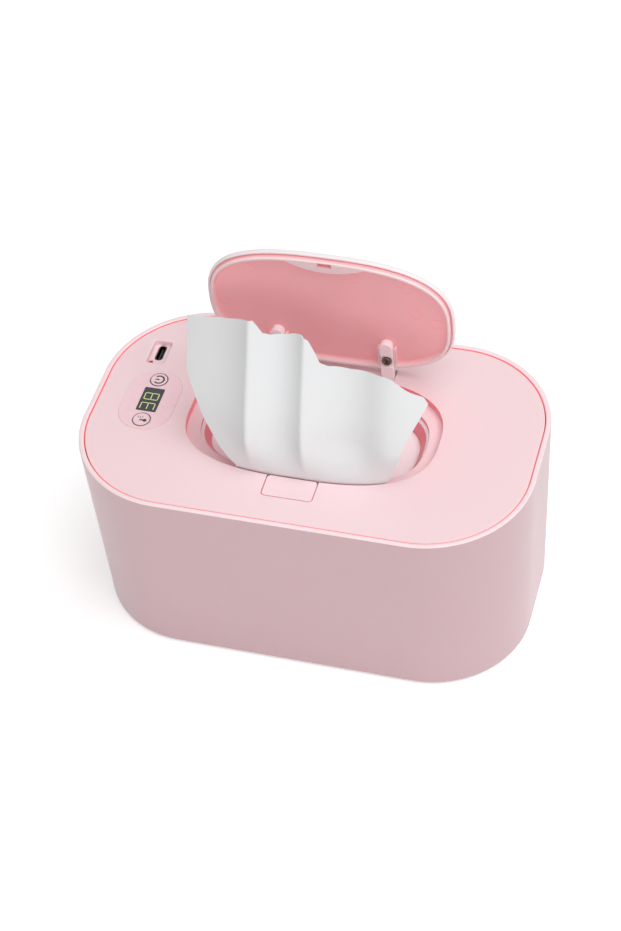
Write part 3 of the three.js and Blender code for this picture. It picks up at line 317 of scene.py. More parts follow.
class WarmerColours(bpy.types.PropertyGroup):
    """Colours of the warmer's surfaces"""

    # The casing is the cover's plastic made darker, partly as painted shade on its upright walls
    casing: colour("Casing", "Outer shell", 214, 180, 185)
    # Painted highlight on the rim's upward faces
    rim: colour("Rim", "Rounded rim of the outer shell", 252, 228, 231)
    cover: colour("Cover", "Top cover and latch button", 251, 220, 224)
    # Lighter than the cover, as a painted highlight on the lid's edge and band
    lid: colour("Lid", "Outer plate of the lid", 255, 240, 242)
    # Painted shade in the seams and on the recess's wall, which also glows there as painted light
    seam: colour("Seam", "Deep in the seams and on the recess's wall", 246, 136, 148)
    tray: colour("Tray", "Lip and tab inside the lid", 255, 226, 228)
    # Painted shade on the tray's floor, darker than its lip
    painted_tray_floor_shade: colour("Tray floor", "Floor of the lid's inside", 255, 184, 188)
    well: colour("Well", "Under cover and the well's floor", 255, 240, 243)
    # Painted shade on the well's wall
    painted_well_shade: colour("Well wall", "Wall of the well", 238, 138, 150)
    # The arms glow a little as painted light
    arm: colour("Arm", "Hinge arms", 255, 238, 240)
    # The label glows a little as painted light
    label: colour("Label", "Control label", 255, 208, 215)
    key: colour("Key", "Tops of the keys", 246, 214, 221)
    ink: colour("Ink", "Symbols on the keys", 60, 50, 56)
    glass: colour("Glass", "Display window", 42, 50, 58)
    digit: colour("Digit", "Lit digits", 214, 222, 148)
    lamp: colour("Lamp", "Power light", 196, 40, 44)
    liner: colour("Liner", "Tub inside", 244, 238, 238)
    foam: colour("Foam", "Insulation", 216, 216, 212)
    rubber: colour("Rubber", "Feet", 206, 198, 198)
    gasket: colour("Gasket", "Cover's gasket", 226, 220, 218)
    steel: colour("Steel", "Screws, pins and springs", 176, 172, 166)
    nickel: colour("Dark nickel", "Screws in the hinge arms", 112, 98, 92)
    can: colour("Can", "Shell of the socket", 74, 73, 72)
    aluminium: colour("Aluminium", "Warming plate", 198, 202, 206)
    film: colour("Film", "Heater film", 190, 116, 40)
    board: colour("Board", "Circuit board", 40, 104, 72)
    black: colour("Black", "Electronic parts", 26, 26, 28)
    wipe: colour("Wipe", "Wet wipe", 231, 232, 233)


def sizes():
    return bpy.context.scene.warmer_sizes


def colours():
    return bpy.context.scene.warmer_colours


# Outlines are lists of (x, y), anticlockwise
def rounded_outline(half_x, half_y, radius, steps=CORNER_STEPS, middle=(0, 0)):
    points = []
    for side_x, side_y, quarter in ((1, 1, 0), (-1, 1, 1), (-1, -1, 2), (1, -1, 3)):
        for step in range(steps + 1):
            angle = (quarter + step / steps) * math.pi / 2
            x = middle[0] + side_x * (half_x - radius) + radius * math.cos(angle)
            points.append((x, middle[1] + side_y * (half_y - radius) + radius * math.sin(angle)))
    return points


def circle(radius, x, y, steps=ROUND_STEPS):
    turns = [2 * math.pi * step / steps for step in range(steps)]
    return [(x + radius * math.cos(turn), y + radius * math.sin(turn)) for turn in turns]


def rectangle(x_span, y_span):
    return [(x_span[0], y_span[0]), (x_span[1], y_span[0]), (x_span[1], y_span[1]), (x_span[0], y_span[1])]


def oval_outline(half_x, half_y):
    share = 2 / sizes().oval_power
    points = []
    for step in range(OVAL_STEPS):
        turn = 2 * math.pi * step / OVAL_STEPS
        across, up = math.cos(turn), math.sin(turn)
        points.append((math.copysign(half_x * abs(across) ** share, across),
                       math.copysign(half_y * abs(up) ** share, up)))
    return points


def inset_outline(outline, distance):
    """The outline moved inwards, each point along the middle of its corner."""
    points = []
    for index, point in enumerate(outline):
        here = Vector(point)
        before = (here - Vector(outline[index - 1])).normalized()
        after = (Vector(outline[(index + 1) % len(outline)]) - here).normalized()
        normals = Vector((-before.y - after.y, before.x + after.x))
        points.append(tuple(here + normals * distance / max(1 + before.dot(after), 0.2)))
    return points


def at_height(outline, z):
    return [(x, y, z) for x, y in outline]


def through(outline, section):
    """The outline at each inset and height of a section."""
    return [at_height(inset_outline(outline, inset), z) for inset, z in section]


def casing_ring(inset, z):
    """The casing's outline at a height, set in from its outer face."""
    s = sizes()
    total = inset + s.draft * (rim_z - z) / (rim_z - shell_low.z)
    return at_height(rounded_outline(half_length - total, half_depth - total, s.corner_radius - total), z)


def oval_ring(half_x, half_y, z):
    return at_height(oval_outline(half_x, half_y), z)


def bend(before, corner, after, steps=EDGE_STEPS):
    """Points of a rounded corner in a section, from one side to the other."""
    curve = []
    for step in range(steps + 1):
        share = step / steps
        weights = ((1 - share) ** 2, 2 * share * (1 - share), share ** 2)
        curve.append(tuple(sum(w * point[axis] for w, point in zip(weights, (before, corner, after)))
                           for axis in range(2)))
    return curve


def smoothstep(value, low, high):
    share = min(max((value - low) / (high - low), 0), 1)
    return share * share * (3 - 2 * share)


def link(name, mesh):
    obj = bpy.data.objects.new(name, mesh)
    bpy.context.scene.collection.objects.link(obj)
    return obj


def clean(mesh):
    """Merge doubled points and turn every face outwards."""
    work = bmesh.new()
    work.from_mesh(mesh)
    bmesh.ops.remove_doubles(work, verts=work.verts, dist=1e-7)
    bmesh.ops.recalc_face_normals(work, faces=work.faces)
    work.to_mesh(mesh)
    work.free()


def solid(name, rings, looped=False):
    """A closed object through rings with equal numbers of points."""
    count = len(rings[0])
    points = [point for ring in rings for point in ring]
    faces = []
    for band in range(len(rings) if looped else len(rings) - 1):
        low = band * count
        high = (band + 1) % len(rings) * count
        for side in range(count):
            after = (side + 1) % count
            faces.append((low + side, low + after, high + after, high + side))
    if not looped:
        faces.append(tuple(reversed(range(count))))
        faces.append(tuple(range(len(points) - count, len(points))))
    mesh = bpy.data.meshes.new(name)
    mesh.from_pydata(points, [], faces)
    clean(mesh)
    return link(name, mesh)


def slab(name, outline, low, high, low_round=0, high_round=0):
    """An upright prism with rounded lower and upper edges."""
    section = [(0, low)]
    if low_round:
        section = bend((low_round, low), (0, low), (0, low + low_round))
    section += bend((0, high - high_round), (0, high), (high_round, high)) if high_round else [(0, high)]
    return solid(name, through(outline, section))


def mouth(outline, low, surface, edge, foot=0):
    """A cutting shape for an opening in a surface, which leaves a rounded edge there."""
    section = bend((foot, low), (0, low), (0, low + foot)) if foot else [(0, low)]
    section += bend((0, surface - edge), (0, surface), (-edge, surface))[:-1]
    section += [(-edge, surface + edge * 0.02), (-edge, surface + OVERRUN)]
    return solid("mouth", through(outline, section))


def box(x_span, y_span, z_span):
    return slab("box", rectangle(x_span, y_span), *z_span)


def about(middle, half):
    return (middle - half, middle + half)


def block(spans, level):
    """A box across the middle, from its half width, its span along Y and its span over a level."""
    half, y_span, (low, high) = spans
    return box(about(0, half), y_span, (level + low, level + high))


def middle_of(low, high):
    return (low.x + high.x) / 2, (low.y + high.y) / 2


def rod(radius, x, y, low, high):
    return slab("rod", circle(radius, x, y), low, high)


def cross_rod(radius, left, right, y, z, edge=0):
    obj = slab("cross_rod", circle(radius, 0, 0), left, right, edge, edge)
    obj.data.transform(Matrix.Translation((0, y, z)) @ ALONG_X)
    return obj


def side_view(points, left, right):
    """A side view, with points in Y and Z, made solid along X."""
    obj = slab("side_view", points, left, right)
    obj.data.transform(ALONG_X)
    return obj


def remove(obj):
    mesh = obj.data
    bpy.data.objects.remove(obj)
    bpy.data.meshes.remove(mesh)


def settle(obj):
    """Replace an object's mesh by what its modifiers make of it."""
    seen = obj.evaluated_get(bpy.context.evaluated_depsgraph_get())
    mesh = bpy.data.meshes.new_from_object(seen)
    obj.modifiers.clear()
    old = obj.data
    obj.data = mesh
    if old.users == 0:
        bpy.data.meshes.remove(old)
    mesh.name = obj.name
    return obj


def combine(operation, body, tools):
    """Join tools to a body or cut them out of it, and take the tools away."""
    for tool in tools:
        modifier = body.modifiers.new(operation, "BOOLEAN")
        modifier.operation = operation
        modifier.solver = "MANIFOLD"
        modifier.object = tool
    settle(body)
    for tool in tools:
        remove(tool)
    return body


def bevel(obj, width, segments, angle=40):
    modifier = obj.modifiers.new("edges", "BEVEL")
    modifier.width = width
    modifier.segments = segments
    modifier.limit_method = "ANGLE"
    modifier.angle_limit = math.radians(angle)
    modifier.harden_normals = False
    return settle(obj)


def smooth(obj, angle=32):
    """Shade smooth but for sharp edges, with flat faces kept flat."""
    mesh = obj.data
    mesh.polygons.foreach_set("use_smooth", [True] * len(mesh.polygons))
    mesh.set_sharp_from_angle(angle=math.radians(angle))
    modifier = obj.modifiers.new("normals", "WEIGHTED_NORMAL")
    modifier.keep_sharp = True
    modifier.weight = 100
    return settle(obj)


def mark(obj, name, rule):
    """Give each face its share of a colour, from its middle and its normal."""
    faces = obj.data.polygons
    layer = obj.data.attributes.new(name, "FLOAT", "FACE")
    layer.data.foreach_set("value", [float(rule(face.center, face.normal)) for face in faces])


def upright(normal):
    return abs(normal.z) < 0.6


def dress(obj, name, body, surface, replaced=()):
    """Name a finished piece, give it its material and put it on its body."""
    obj.name = name
    obj.data.name = name
    obj.data.materials.clear()
    obj.data.materials.append(surface)
    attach(obj, body)
    if replaced:
        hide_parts(*replaced)


# Nodes of materials and of Geometry Nodes
def node(tree, kind, inputs=None, **settings):
    """A node with its settings, and its inputs by name or number, each linked or given a value."""
    made = tree.nodes.new(kind)
    for name, value in settings.items():
        setattr(made, name, value)
    for name, value in (inputs or {}).items():
        if isinstance(value, bpy.types.NodeSocket):
            tree.links.new(value, made.inputs[name])
        else:
            made.inputs[name].default_value = value
    return made


def node_group(kind, name, inputs, outputs):
    """Turns a function that fills a tree into one that gives the tree, filled the first time."""
    def wrap(fill):
        def give():
            tree = bpy.data.node_groups.get(name)
            if tree:
                return tree
            tree = bpy.data.node_groups.new(name, kind)
            for way, sockets in (("INPUT", inputs), ("OUTPUT", outputs)):
                for socket, (value, *default) in sockets.items():
                    made = tree.interface.new_socket(socket, in_out=way, socket_type="NodeSocket" + value)
                    if default:
                        made.default_value = default[0]
            fill(tree, tree.nodes.new("NodeGroupInput").outputs, tree.nodes.new("NodeGroupOutput").inputs)
            return tree
        return give
    return wrap


def object_place(tree):
    return node(tree, "ShaderNodeTexCoord").outputs["Object"]


def noise(tree, vector, scale, detail=2.0, rough=0.5):
    inputs = {"Vector": vector, "Scale": scale, "Detail": detail, "Roughness": rough}
    return node(tree, "ShaderNodeTexNoise", inputs).outputs["Fac"]


def maths(tree, operation, *values):
    return node(tree, "ShaderNodeMath", dict(enumerate(values)), operation=operation).outputs[0]


def opaque(tint):
    """A colour as sockets take it, or the socket that gives it."""
    return tint if isinstance(tint, bpy.types.NodeSocket) else (*tint, 1)


def mixed(tree, share, low, high):
    """A colour between two, each a socket or a colour."""
    inputs = {"Factor": share, "A": opaque(low), "B": opaque(high)}
    return node(tree, "ShaderNodeMix", inputs, data_type="RGBA").outputs["Result"]


def placed(tree, group, vector, **values):
    """A shared group at work in a material, with the material's own values."""
    return node(tree, "ShaderNodeGroup", {"Vector": vector, **values}, node_tree=group)


def relief(tree, height, strength, distance, **inputs):
    inputs = {"Strength": strength, "Distance": distance, "Height": height, **inputs}
    return node(tree, "ShaderNodeBump", inputs).outputs["Normal"]


@node_group("ShaderNodeTree", "tone_drift", {
    "Vector": ("Vector",), "Colour": ("Color", (1, 1, 1, 1)), "Scale": ("Float", 20.0),
    "Amount": ("Float", 0.02)}, {"Colour": ("Color",)})
def tone_group(tree, source, sink):
    """Slow drift of a surface's colour, lighter and darker."""
    drift = maths(tree, "SUBTRACT", noise(tree, source["Vector"], source["Scale"], 3.0), 0.5)
    gain = maths(tree, "MULTIPLY_ADD", drift, source["Amount"], 1.0)
    scaled = node(tree, "ShaderNodeVectorMath", {0: source["Colour"], "Scale": gain}, operation="SCALE")
    tree.links.new(scaled.outputs[0], sink["Colour"])


@node_group("ShaderNodeTree", "moulded_grain", {
    "Vector": ("Vector",), "Scale": ("Float", 2600.0), "Roughness": ("Float", 0.4),
    "Spread": ("Float", 0.1)}, {"Height": ("Float",), "Roughness": ("Float",)})
def grain_group(tree, source, sink):
    """Fine moulded grain: a height for bump, and a roughness that varies with it."""
    patches = maths(tree, "SUBTRACT", noise(tree, source["Vector"], PATCH_SCALE), 0.5)
    gloss = maths(tree, "MULTIPLY_ADD", patches, source["Spread"], source["Roughness"])
    tree.links.new(noise(tree, source["Vector"], source["Scale"]), sink["Height"])
    tree.links.new(gloss, sink["Roughness"])


@node_group("ShaderNodeTree", "pressed_fibres", {
    "Vector": ("Vector",), "Scale": ("Float", 900.0), "Stretch": ("Float", 6.0)}, {"Height": ("Float",)})
def fibre_group(tree, source, sink):
    """Fibres of a pressed cloth, laid both ways, as a height."""
    heights = []
    for along in ("X", "Z"):
        shares = {axis: 1.0 if axis == along else source["Stretch"] for axis in "XYZ"}
        stretch = node(tree, "ShaderNodeCombineXYZ", shares).outputs[0]
        drawn = node(tree, "ShaderNodeVectorMath", {0: source["Vector"], 1: stretch}, operation="MULTIPLY")
        heights.append(noise(tree, drawn.outputs[0], source["Scale"], 3.0, 0.6))
    tree.links.new(maths(tree, "ADD", *heights), sink["Height"])


def surface(name, tint, roughness, grain=2600.0, bump=0.15, drift=0.03, spread=0.1, deep=None, glow=0.0,
            pale=None, **sockets):
    """A material with drifting tone, fine grain and varied gloss. Faces marked with painted shade take on
    the shade colour, those marked as lit glow in that colour as painted light, and those marked with a
    painted highlight take on the highlight colour."""
    found = bpy.data.materials.get(name)
    if found:
        return found
    made = bpy.data.materials.new(name)
    made.use_nodes = True
    tree = made.node_tree
    shader = tree.nodes["Principled BSDF"]

    def marked(share, low, high):
        share = node(tree, "ShaderNodeAttribute", attribute_name=share).outputs["Fac"]
        return mixed(tree, share, low, high)

    under = tint
    # Painted shade: marked faces take the darker shade colour, and faces marked as lit glow in it as painted
    # light
    if deep:
        under = marked("deep", tint, deep)
        tree.links.new(marked("lit", (0, 0, 0), deep), shader.inputs["Emission Color"])
        shader.inputs["Emission Strength"].default_value = glow
    # Painted highlight: marked faces take the lighter highlight colour
    if pale:
        under = marked("pale", under, pale)
    place = object_place(tree)
    tone = placed(tree, tone_group(), place, Colour=opaque(under), Amount=drift)
    texture = placed(tree, grain_group(), place, Scale=grain, Roughness=roughness, Spread=spread)
    tree.links.new(relief(tree, texture.outputs["Height"], bump, GRAIN_HEIGHT), shader.inputs["Normal"])
    tree.links.new(tone.outputs["Colour"], shader.inputs["Base Color"])
    tree.links.new(texture.outputs["Roughness"], shader.inputs["Roughness"])
    for socket, value in sockets.items():
        shader.inputs[socket.replace("_", " ")].default_value = value
    return made


def plastic(name, tint, roughness=0.38, level=0.45, **others):
    return surface(name, tint, roughness, Specular_IOR_Level=level, Subsurface_Weight=0.3,
                   Subsurface_Radius=(0.003, 0.0008, 0.001), Subsurface_Scale=1.0, **others)


def glowing(tint, strength):
    """Sockets for a glow: real light for the lit digits, and painted light for the arms and the label."""
    return {"Emission_Color": (*tint, 1), "Emission_Strength": strength}


def metal(name, tint, roughness=0.3):
    return surface(name, tint, roughness, grain=5000.0, bump=0.05, drift=0.05, Metallic=1.0)


def end_tree(tree, geometry, material, sink):
    """Each tree ends in real geometry with its material."""
    real = node(tree, "GeometryNodeRealizeInstances", {"Geometry": geometry}).outputs["Geometry"]
    paint = node(tree, "GeometryNodeSetMaterial", {"Geometry": real, "Material": material})
    tree.links.new(paint.outputs["Geometry"], sink["Geometry"])


@node_group("GeometryNodeTree", "copies", {
    "Geometry": ("Geometry",), "Piece": ("Object",), "Turn": ("Float",), "Material": ("Material",)},
    {"Geometry": ("Geometry",)})
def copies_tree(tree, source, sink):
    """Copies of a piece at every point, each turned further about Z."""
    piece = node(tree, "GeometryNodeObjectInfo", {"Object": source["Piece"]}).outputs["Geometry"]
    index = node(tree, "GeometryNodeInputIndex").outputs[0]
    turn = node(tree, "ShaderNodeCombineXYZ", {"Z": maths(tree, "MULTIPLY", index, source["Turn"])})
    spread = node(tree, "GeometryNodeInstanceOnPoints", {
        "Points": source["Geometry"], "Instance": piece, "Rotation": turn.outputs[0]})
    end_tree(tree, spread.outputs["Instances"], source["Material"], sink)


@node_group("GeometryNodeTree", "coil", {
    "Geometry": ("Geometry",), "Radius": ("Float",), "Length": ("Float",), "Turns": ("Float",),
    "Wire": ("Float",), "Material": ("Material",)}, {"Geometry": ("Geometry",)})
def coil_tree(tree, source, sink):
    """A spring's wire wound along Z from the origin."""
    spiral = node(tree, "GeometryNodeCurveSpiral", {
        "Resolution": 24, "Start Radius": source["Radius"], "End Radius": source["Radius"],
        "Height": source["Length"], "Rotations": source["Turns"]}).outputs["Curve"]
    wire = node(tree, "GeometryNodeCurvePrimitiveCircle", {"Resolution": 10, "Radius": source["Wire"]})
    sweep = node(tree, "GeometryNodeCurveToMesh", {
        "Curve": spiral, "Profile Curve": wire.outputs["Curve"], "Fill Caps": True})
    end_tree(tree, sweep.outputs["Mesh"], source["Material"], sink)


def grow(name, tree, points=((0, 0, 0),), **values):
    """A plain mesh object grown by a tree from a set of points."""
    mesh = bpy.data.meshes.new(name)
    mesh.from_pydata([tuple(point) for point in points], [], [])
    obj = link(name, mesh)
    modifier = obj.modifiers.new(tree.name, "NODES")
    modifier.node_group = tree
    for item in tree.interface.items_tree:
        if item.item_type == "SOCKET" and item.in_out == "INPUT" and item.name in values:
            modifier[item.identifier] = values[item.name]
    return settle(obj)


def copies(name, piece, points, material, turn=0.0):
    made = grow(name, copies_tree(), points, Piece=piece, Turn=turn, Material=material)
    remove(piece)
    return made


# Places that several pieces share
def cover_inset():
    return sizes().wall + sizes().gap


def ledge_z():
    return cover_z - sizes().recess_depth


def well_floor_z():
    return under_low.z + sizes().well_floor


def slot_span(side):
    """The opening for an arm along X. The left one also holds the spring."""
    s = sizes()
    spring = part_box("lid_spring")
    left = side * s.arm_x - s.arm_width / 2 - s.slack
    right = side * s.arm_x + s.arm_width / 2 + s.slack
    return (left, spring[1].x + s.gap) if side < 0 else (left, right)


def key_places():
    s = sizes()
    return [("power", panel.y + s.key_reach), ("temperature", panel.y - s.key_reach)]


def opened(obj):
    """Turn a piece made in the shut lid's place to where the open lid is."""
    turn = Matrix.Rotation(-sizes().open_angle, 4, "X")
    obj.data.transform(Matrix.Translation(pivot) @ turn @ Matrix.Translation(-pivot))
    return obj


class WARMER_OT_casing(bpy.types.Operator):
    """Make the casing's shell and its rubber feet"""

    bl_idname = "warmer.casing"
    bl_label = "Casing"

    def execute(self, context):
        s = sizes()
        c = colours()
        floor = tub_low.z - s.foam - 2 * s.gap
        shell = solid("outer_shell", [casing_ring(*at) for at in [
            *bend((s.foot_round, shell_low.z), (0, shell_low.z), (0, shell_low.z + s.foot_round)),
            *bend((0, rim_z - s.rim_round), (0, rim_z), (s.rim_round, rim_z)),
            *bend((s.wall - s.rim_round, rim_z), (s.wall, rim_z), (s.wall, rim_z - s.rim_round)),
            (s.wall, rim_z - s.seam_depth),
            *bend((s.wall, floor + s.foot_round), (s.wall, floor), (s.wall + s.foot_round, floor)),
        ]])
        levels = (tub_high.z - s.tub_wall - s.gap - s.rib_height, tub_high.z - s.tub_wall - s.gap)
        spread = (half_length - s.corner_radius) * RIB_SPREAD_SHARE
        ribs = []
        for side in (-1, 1):
            by_end, by_wall = (sorted((side * (half - s.wall - s.rib_depth), side * (half - s.wall / 2)))
                               for half in (half_length, half_depth))
            ribs.append(box(by_end, about(0, s.rib_width / 2), levels))
            ribs += [box(about(x, s.rib_width / 2), by_wall, levels) for x in (-spread, 0, spread)]
        combine("UNION", shell, ribs)
        feet = [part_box(name) for name in FOOT_NODES]
        middles = [(low + high) / 2 for low, high in feet]
        socket_z = feet[0][1].z + s.gap
        combine("DIFFERENCE", shell, [rod(s.foot_radius + s.gap, at.x, at.y, shell_low.z - OVERRUN, socket_z)
                                      for at in middles])
        smooth(shell)
        # Painted shade and painted glow on the rim's inner wall, by the gap to the cover
        for name in ("deep", "lit"):
            mark(shell, name, lambda at, normal: upright(normal) and at.z > rim_z - s.seam_depth
                 and normal.x * at.x + normal.y * at.y < 0)
        # Painted highlight: the rim's upward faces take a lighter colour
        mark(shell, "pale", lambda at, normal: normal.z > 0.3 and at.z > rim_z - s.rim_round)
        made = plastic("casing_plastic", c.casing, deep=c.seam, glow=s.painted_rim_glow, level=0.6, pale=c.rim,
                       Coat_Weight=0.25, Coat_Roughness=0.3)
        dress(shell, "casing_shell", "housing", made, ["outer_shell"])
        foot = slab("foot", circle(s.foot_radius, 0, 0), 0, feet[0][1].z, *FOOT_EDGES)
        combine("DIFFERENCE", foot, [rod(s.foot_radius * FOOT_DISH_SHARE, 0, 0, -OVERRUN, FOOT_DISH)])
        rubber = surface("rubber", c.rubber, 0.75, grain=1800.0, bump=0.4)
        made = copies("rubber_feet", smooth(foot), [(at.x, at.y, 0) for at in middles], rubber, 0.3)
        dress(made, "rubber_feet", "housing", rubber, FOOT_NODES)
        return {"FINISHED"}


class WARMER_OT_tub(bpy.types.Operator):
    """Make the tub that the wipes lie in"""

    bl_idname = "warmer.tub"
    bl_label = "Tub"

    def execute(self, context):
        s = sizes()
        inset = cover_inset() + s.foam + s.gap
        lower = tub_high.z - s.tub_wall
        floor = tub_low.z + s.tub_wall
        fillet = 3 * s.tub_wall
        edge = s.tub_wall / 4
        tub = solid("inner_tub", [casing_ring(*at) for at in [
            *bend((inset + fillet, tub_low.z), (inset, tub_low.z), (inset, tub_low.z + fillet)),
            (inset, lower), (cover_inset(), lower),
            *bend((cover_inset(), tub_high.z - edge), (cover_inset(), tub_high.z),
                  (cover_inset() + edge, tub_high.z)),
            *bend((inset + s.tub_wall - edge, tub_high.z), (inset + s.tub_wall, tub_high.z),
                  (inset + s.tub_wall, tub_high.z - edge)),
            *bend((inset + s.tub_wall, floor + fillet), (inset + s.tub_wall, floor),
                  (inset + s.tub_wall + fillet, floor), 5),
        ]])
        dress(smooth(tub), "wipe_tub", "housing", plastic("liner_plastic", colours().liner),
              ["inner_tub"])
        return {"FINISHED"}


class WARMER_OT_cover(bpy.types.Operator):
    """Make the top cover with its recess, slots, posts and openings"""

    bl_idname = "warmer.cover"
    bl_label = "Top cover"

    def execute(self, context):
        s = sizes()
        inset = cover_inset()
        plate_z = cover_z - s.cover_plate
        merge_z = cover_z - s.cover_plate / 2
        ledge_low = ledge_z() - s.ledge
        cover = solid("top_cover", [casing_ring(*at) for at in [
            (inset, cover_low.z), (inset, cover_z - s.seam_depth),
            *bend((inset, cover_z - s.cover_edge), (inset, cover_z), (inset + s.cover_edge, cover_z)),
        ]])
        hollow = solid("hollow", [casing_ring(inset + s.skirt, z) for z in (cover_low.z - OVERRUN, plate_z)])
        combine("DIFFERENCE", cover, [hollow])
        cup_x, cup_y = s.recess_half_x + s.ledge, s.recess_half_y + s.ledge
        parts = [solid("cup", [oval_ring(cup_x, cup_y, z) for z in (ledge_low, merge_z)])]
        boss_z = pivot.z - BOSS_DROP
        for side in (-1, 1):
            left, right = slot_span(side)
            parts.append(box((left - BOSS_ROOM, right + BOSS_ROOM),
                             (s.recess_half_y - s.ledge, pivot.y + BOSS_REACH), (boss_z, merge_z)))
        for x, y in post_places():
            parts.append(rod(s.post_radius, x, y, well_floor_z() + s.gap, merge_z))
        pocket_z = cover_z - s.pocket_depth
        parts.append(slab("pocket", pocket_outline(POCKET_WALL), pocket_z - POCKET_WALL, merge_z))
        combine("UNION", cover, parts)
        tools = [
            mouth(oval_outline(s.recess_half_x, s.recess_half_y), ledge_z(), cover_z,
                  RECESS_EDGE, RECESS_EDGE),
            mouth(oval_outline(s.hole_half_x, s.hole_half_y), ledge_low - OVERRUN, ledge_z(), RECESS_EDGE),
            mouth(pocket_outline(0), pocket_z, cover_z, POCKET_EDGE, POCKET_EDGE),
            slab("socket_hole", socket_outline(s.gap), pocket_z - OVERRUN, pocket_z + SOCKET_CUT),
            rod(LAMP_BORE, *middle_of(lamp_low, lamp_high), pocket_z - OVERRUN, pocket_z + SOCKET_CUT),
            mouth(label_outline(PRINT_GAP), cover_z - LABEL_SINK, cover_z, PRINT_EDGE),
            slab("window_hole", window_outline(s.gap), plate_z - OVERRUN, cover_z + OVERRUN),
        ]
        for side in (-1, 1):
            left, right = slot_span(side)
            tools.append(box((left, right), (s.hole_half_y / 2, pivot.y + s.barrel_radius + s.slack),
                             (arm_low_z() - s.slack, cover_z + OVERRUN)))
            tools.append(cross_rod(PIN_BORE, left - PIN_ROOM, right + PIN_ROOM, pivot.y, pivot.z))
        tools += [rod(SCREW_BORE, x, y, well_floor_z(), plate_z) for x, y in post_places()]
        tools += [rod(s.key_radius + s.gap, panel.x, y, plate_z - OVERRUN, cover_z + OVERRUN)
                  for _, y in key_places()]
        back = LATCH_BACK - s.recess_half_y
        tools.append(mouth(latch_outline(s.gap, back), plate_z - s.gap, cover_z, LATCH_EDGE))
        tools.append(box(about(0, s.latch_half + s.gap), (-cup_y - s.slack, back),
                         (cover_z - LATCH_DROP, cover_z + OVERRUN)))
        half, along, rise = HOOK_HOLE
        tools.append(box(about(0, half), along, (ledge_low - OVERRUN, ledge_z() + rise)))
        combine("DIFFERENCE", cover, tools)
        # Painted shade and painted glow on the cover's outer edge and on the walls of its recess and latch
        # opening
        mark(smooth(cover), "deep", seam_rule)
        mark(cover, "lit", lambda at, normal: seam_rule(at, normal, s.wall_light))
        dress(cover, "cover_shell", "cover", cover_plastic(), ["top_cover"])
        return {"FINISHED"}


def seam_rule(at, normal, wall_share=1):
    """Where the cover takes painted shade and painted glow: full on top of the cover's outer edge, and a
    share on the walls of its recess and latch opening.
    """
    s = sizes()
    by_recess = abs(at.x) < s.recess_half_x and -s.recess_half_y - s.latch_reach < at.y < s.recess_half_y
    low = ledge_z() - s.ledge if by_recess else cover_z - s.seam_depth
    past_x = max(abs(at.x) - half_length + s.corner_radius, 0)
    past_y = max(abs(at.y) - half_depth + s.corner_radius, 0)
    outer = math.hypot(past_x, past_y) > s.corner_radius - cover_inset() - s.seam_depth / 2
    if not upright(normal) or at.z < low - s.gap:
        return 0
    return 1 if outer else wall_share * by_recess


def cover_plastic():
    c = colours()
    # The cover's plastic with painted shade and painted glow at its seams
    return plastic("cover_plastic", c.cover, 0.34, deep=c.seam, glow=sizes().painted_seam_glow)


def post_places():
    s = sizes()
    return [(x, y) for x in (-s.post_x, s.post_x) for y in (-s.post_y, s.post_y)]


def pocket_middle():
    middle = (socket_low + socket_high) / 2
    return (middle.x + POCKET_SHIFT[0], middle.y + POCKET_SHIFT[1])


def pocket_outline(margin):
    s = sizes()
    return rounded_outline(s.pocket_width / 2 + margin, s.pocket_length / 2 + margin,
                           s.pocket_corner + margin, 6, pocket_middle())


def socket_outline(margin):
    half = (socket_high - socket_low) / 2
    radius = half.x - SOCKET_FLAT + margin
    return rounded_outline(half.x + margin, half.y + margin, radius, 8, middle_of(socket_low, socket_high))


def label_outline(margin):
    half = (label_high - label_low) / 2
    return rounded_outline(half.x + margin, half.y + margin, sizes().label_corner, 16, (panel.x, panel.y))


def window_outline(margin):
    half = (window_high - window_low) / 2
    return rounded_outline(half.x + margin, half.y + margin, WINDOW_CORNER, 4, (panel.x, panel.y))


def latch_outline(margin, back):
    """The button's opening: round corners at the front, open to the recess at the back."""
    s = sizes()
    front = -s.recess_half_y - s.latch_reach - margin
    half = s.latch_half + margin
    radius = s.latch_corner + margin
    points = rounded_outline(half, (back - front) / 2, radius, 8, (0, (front + back) / 2))
    return [point for point in points if point[1] < front + radius * 1.01] + [(half, back), (-half, back)]


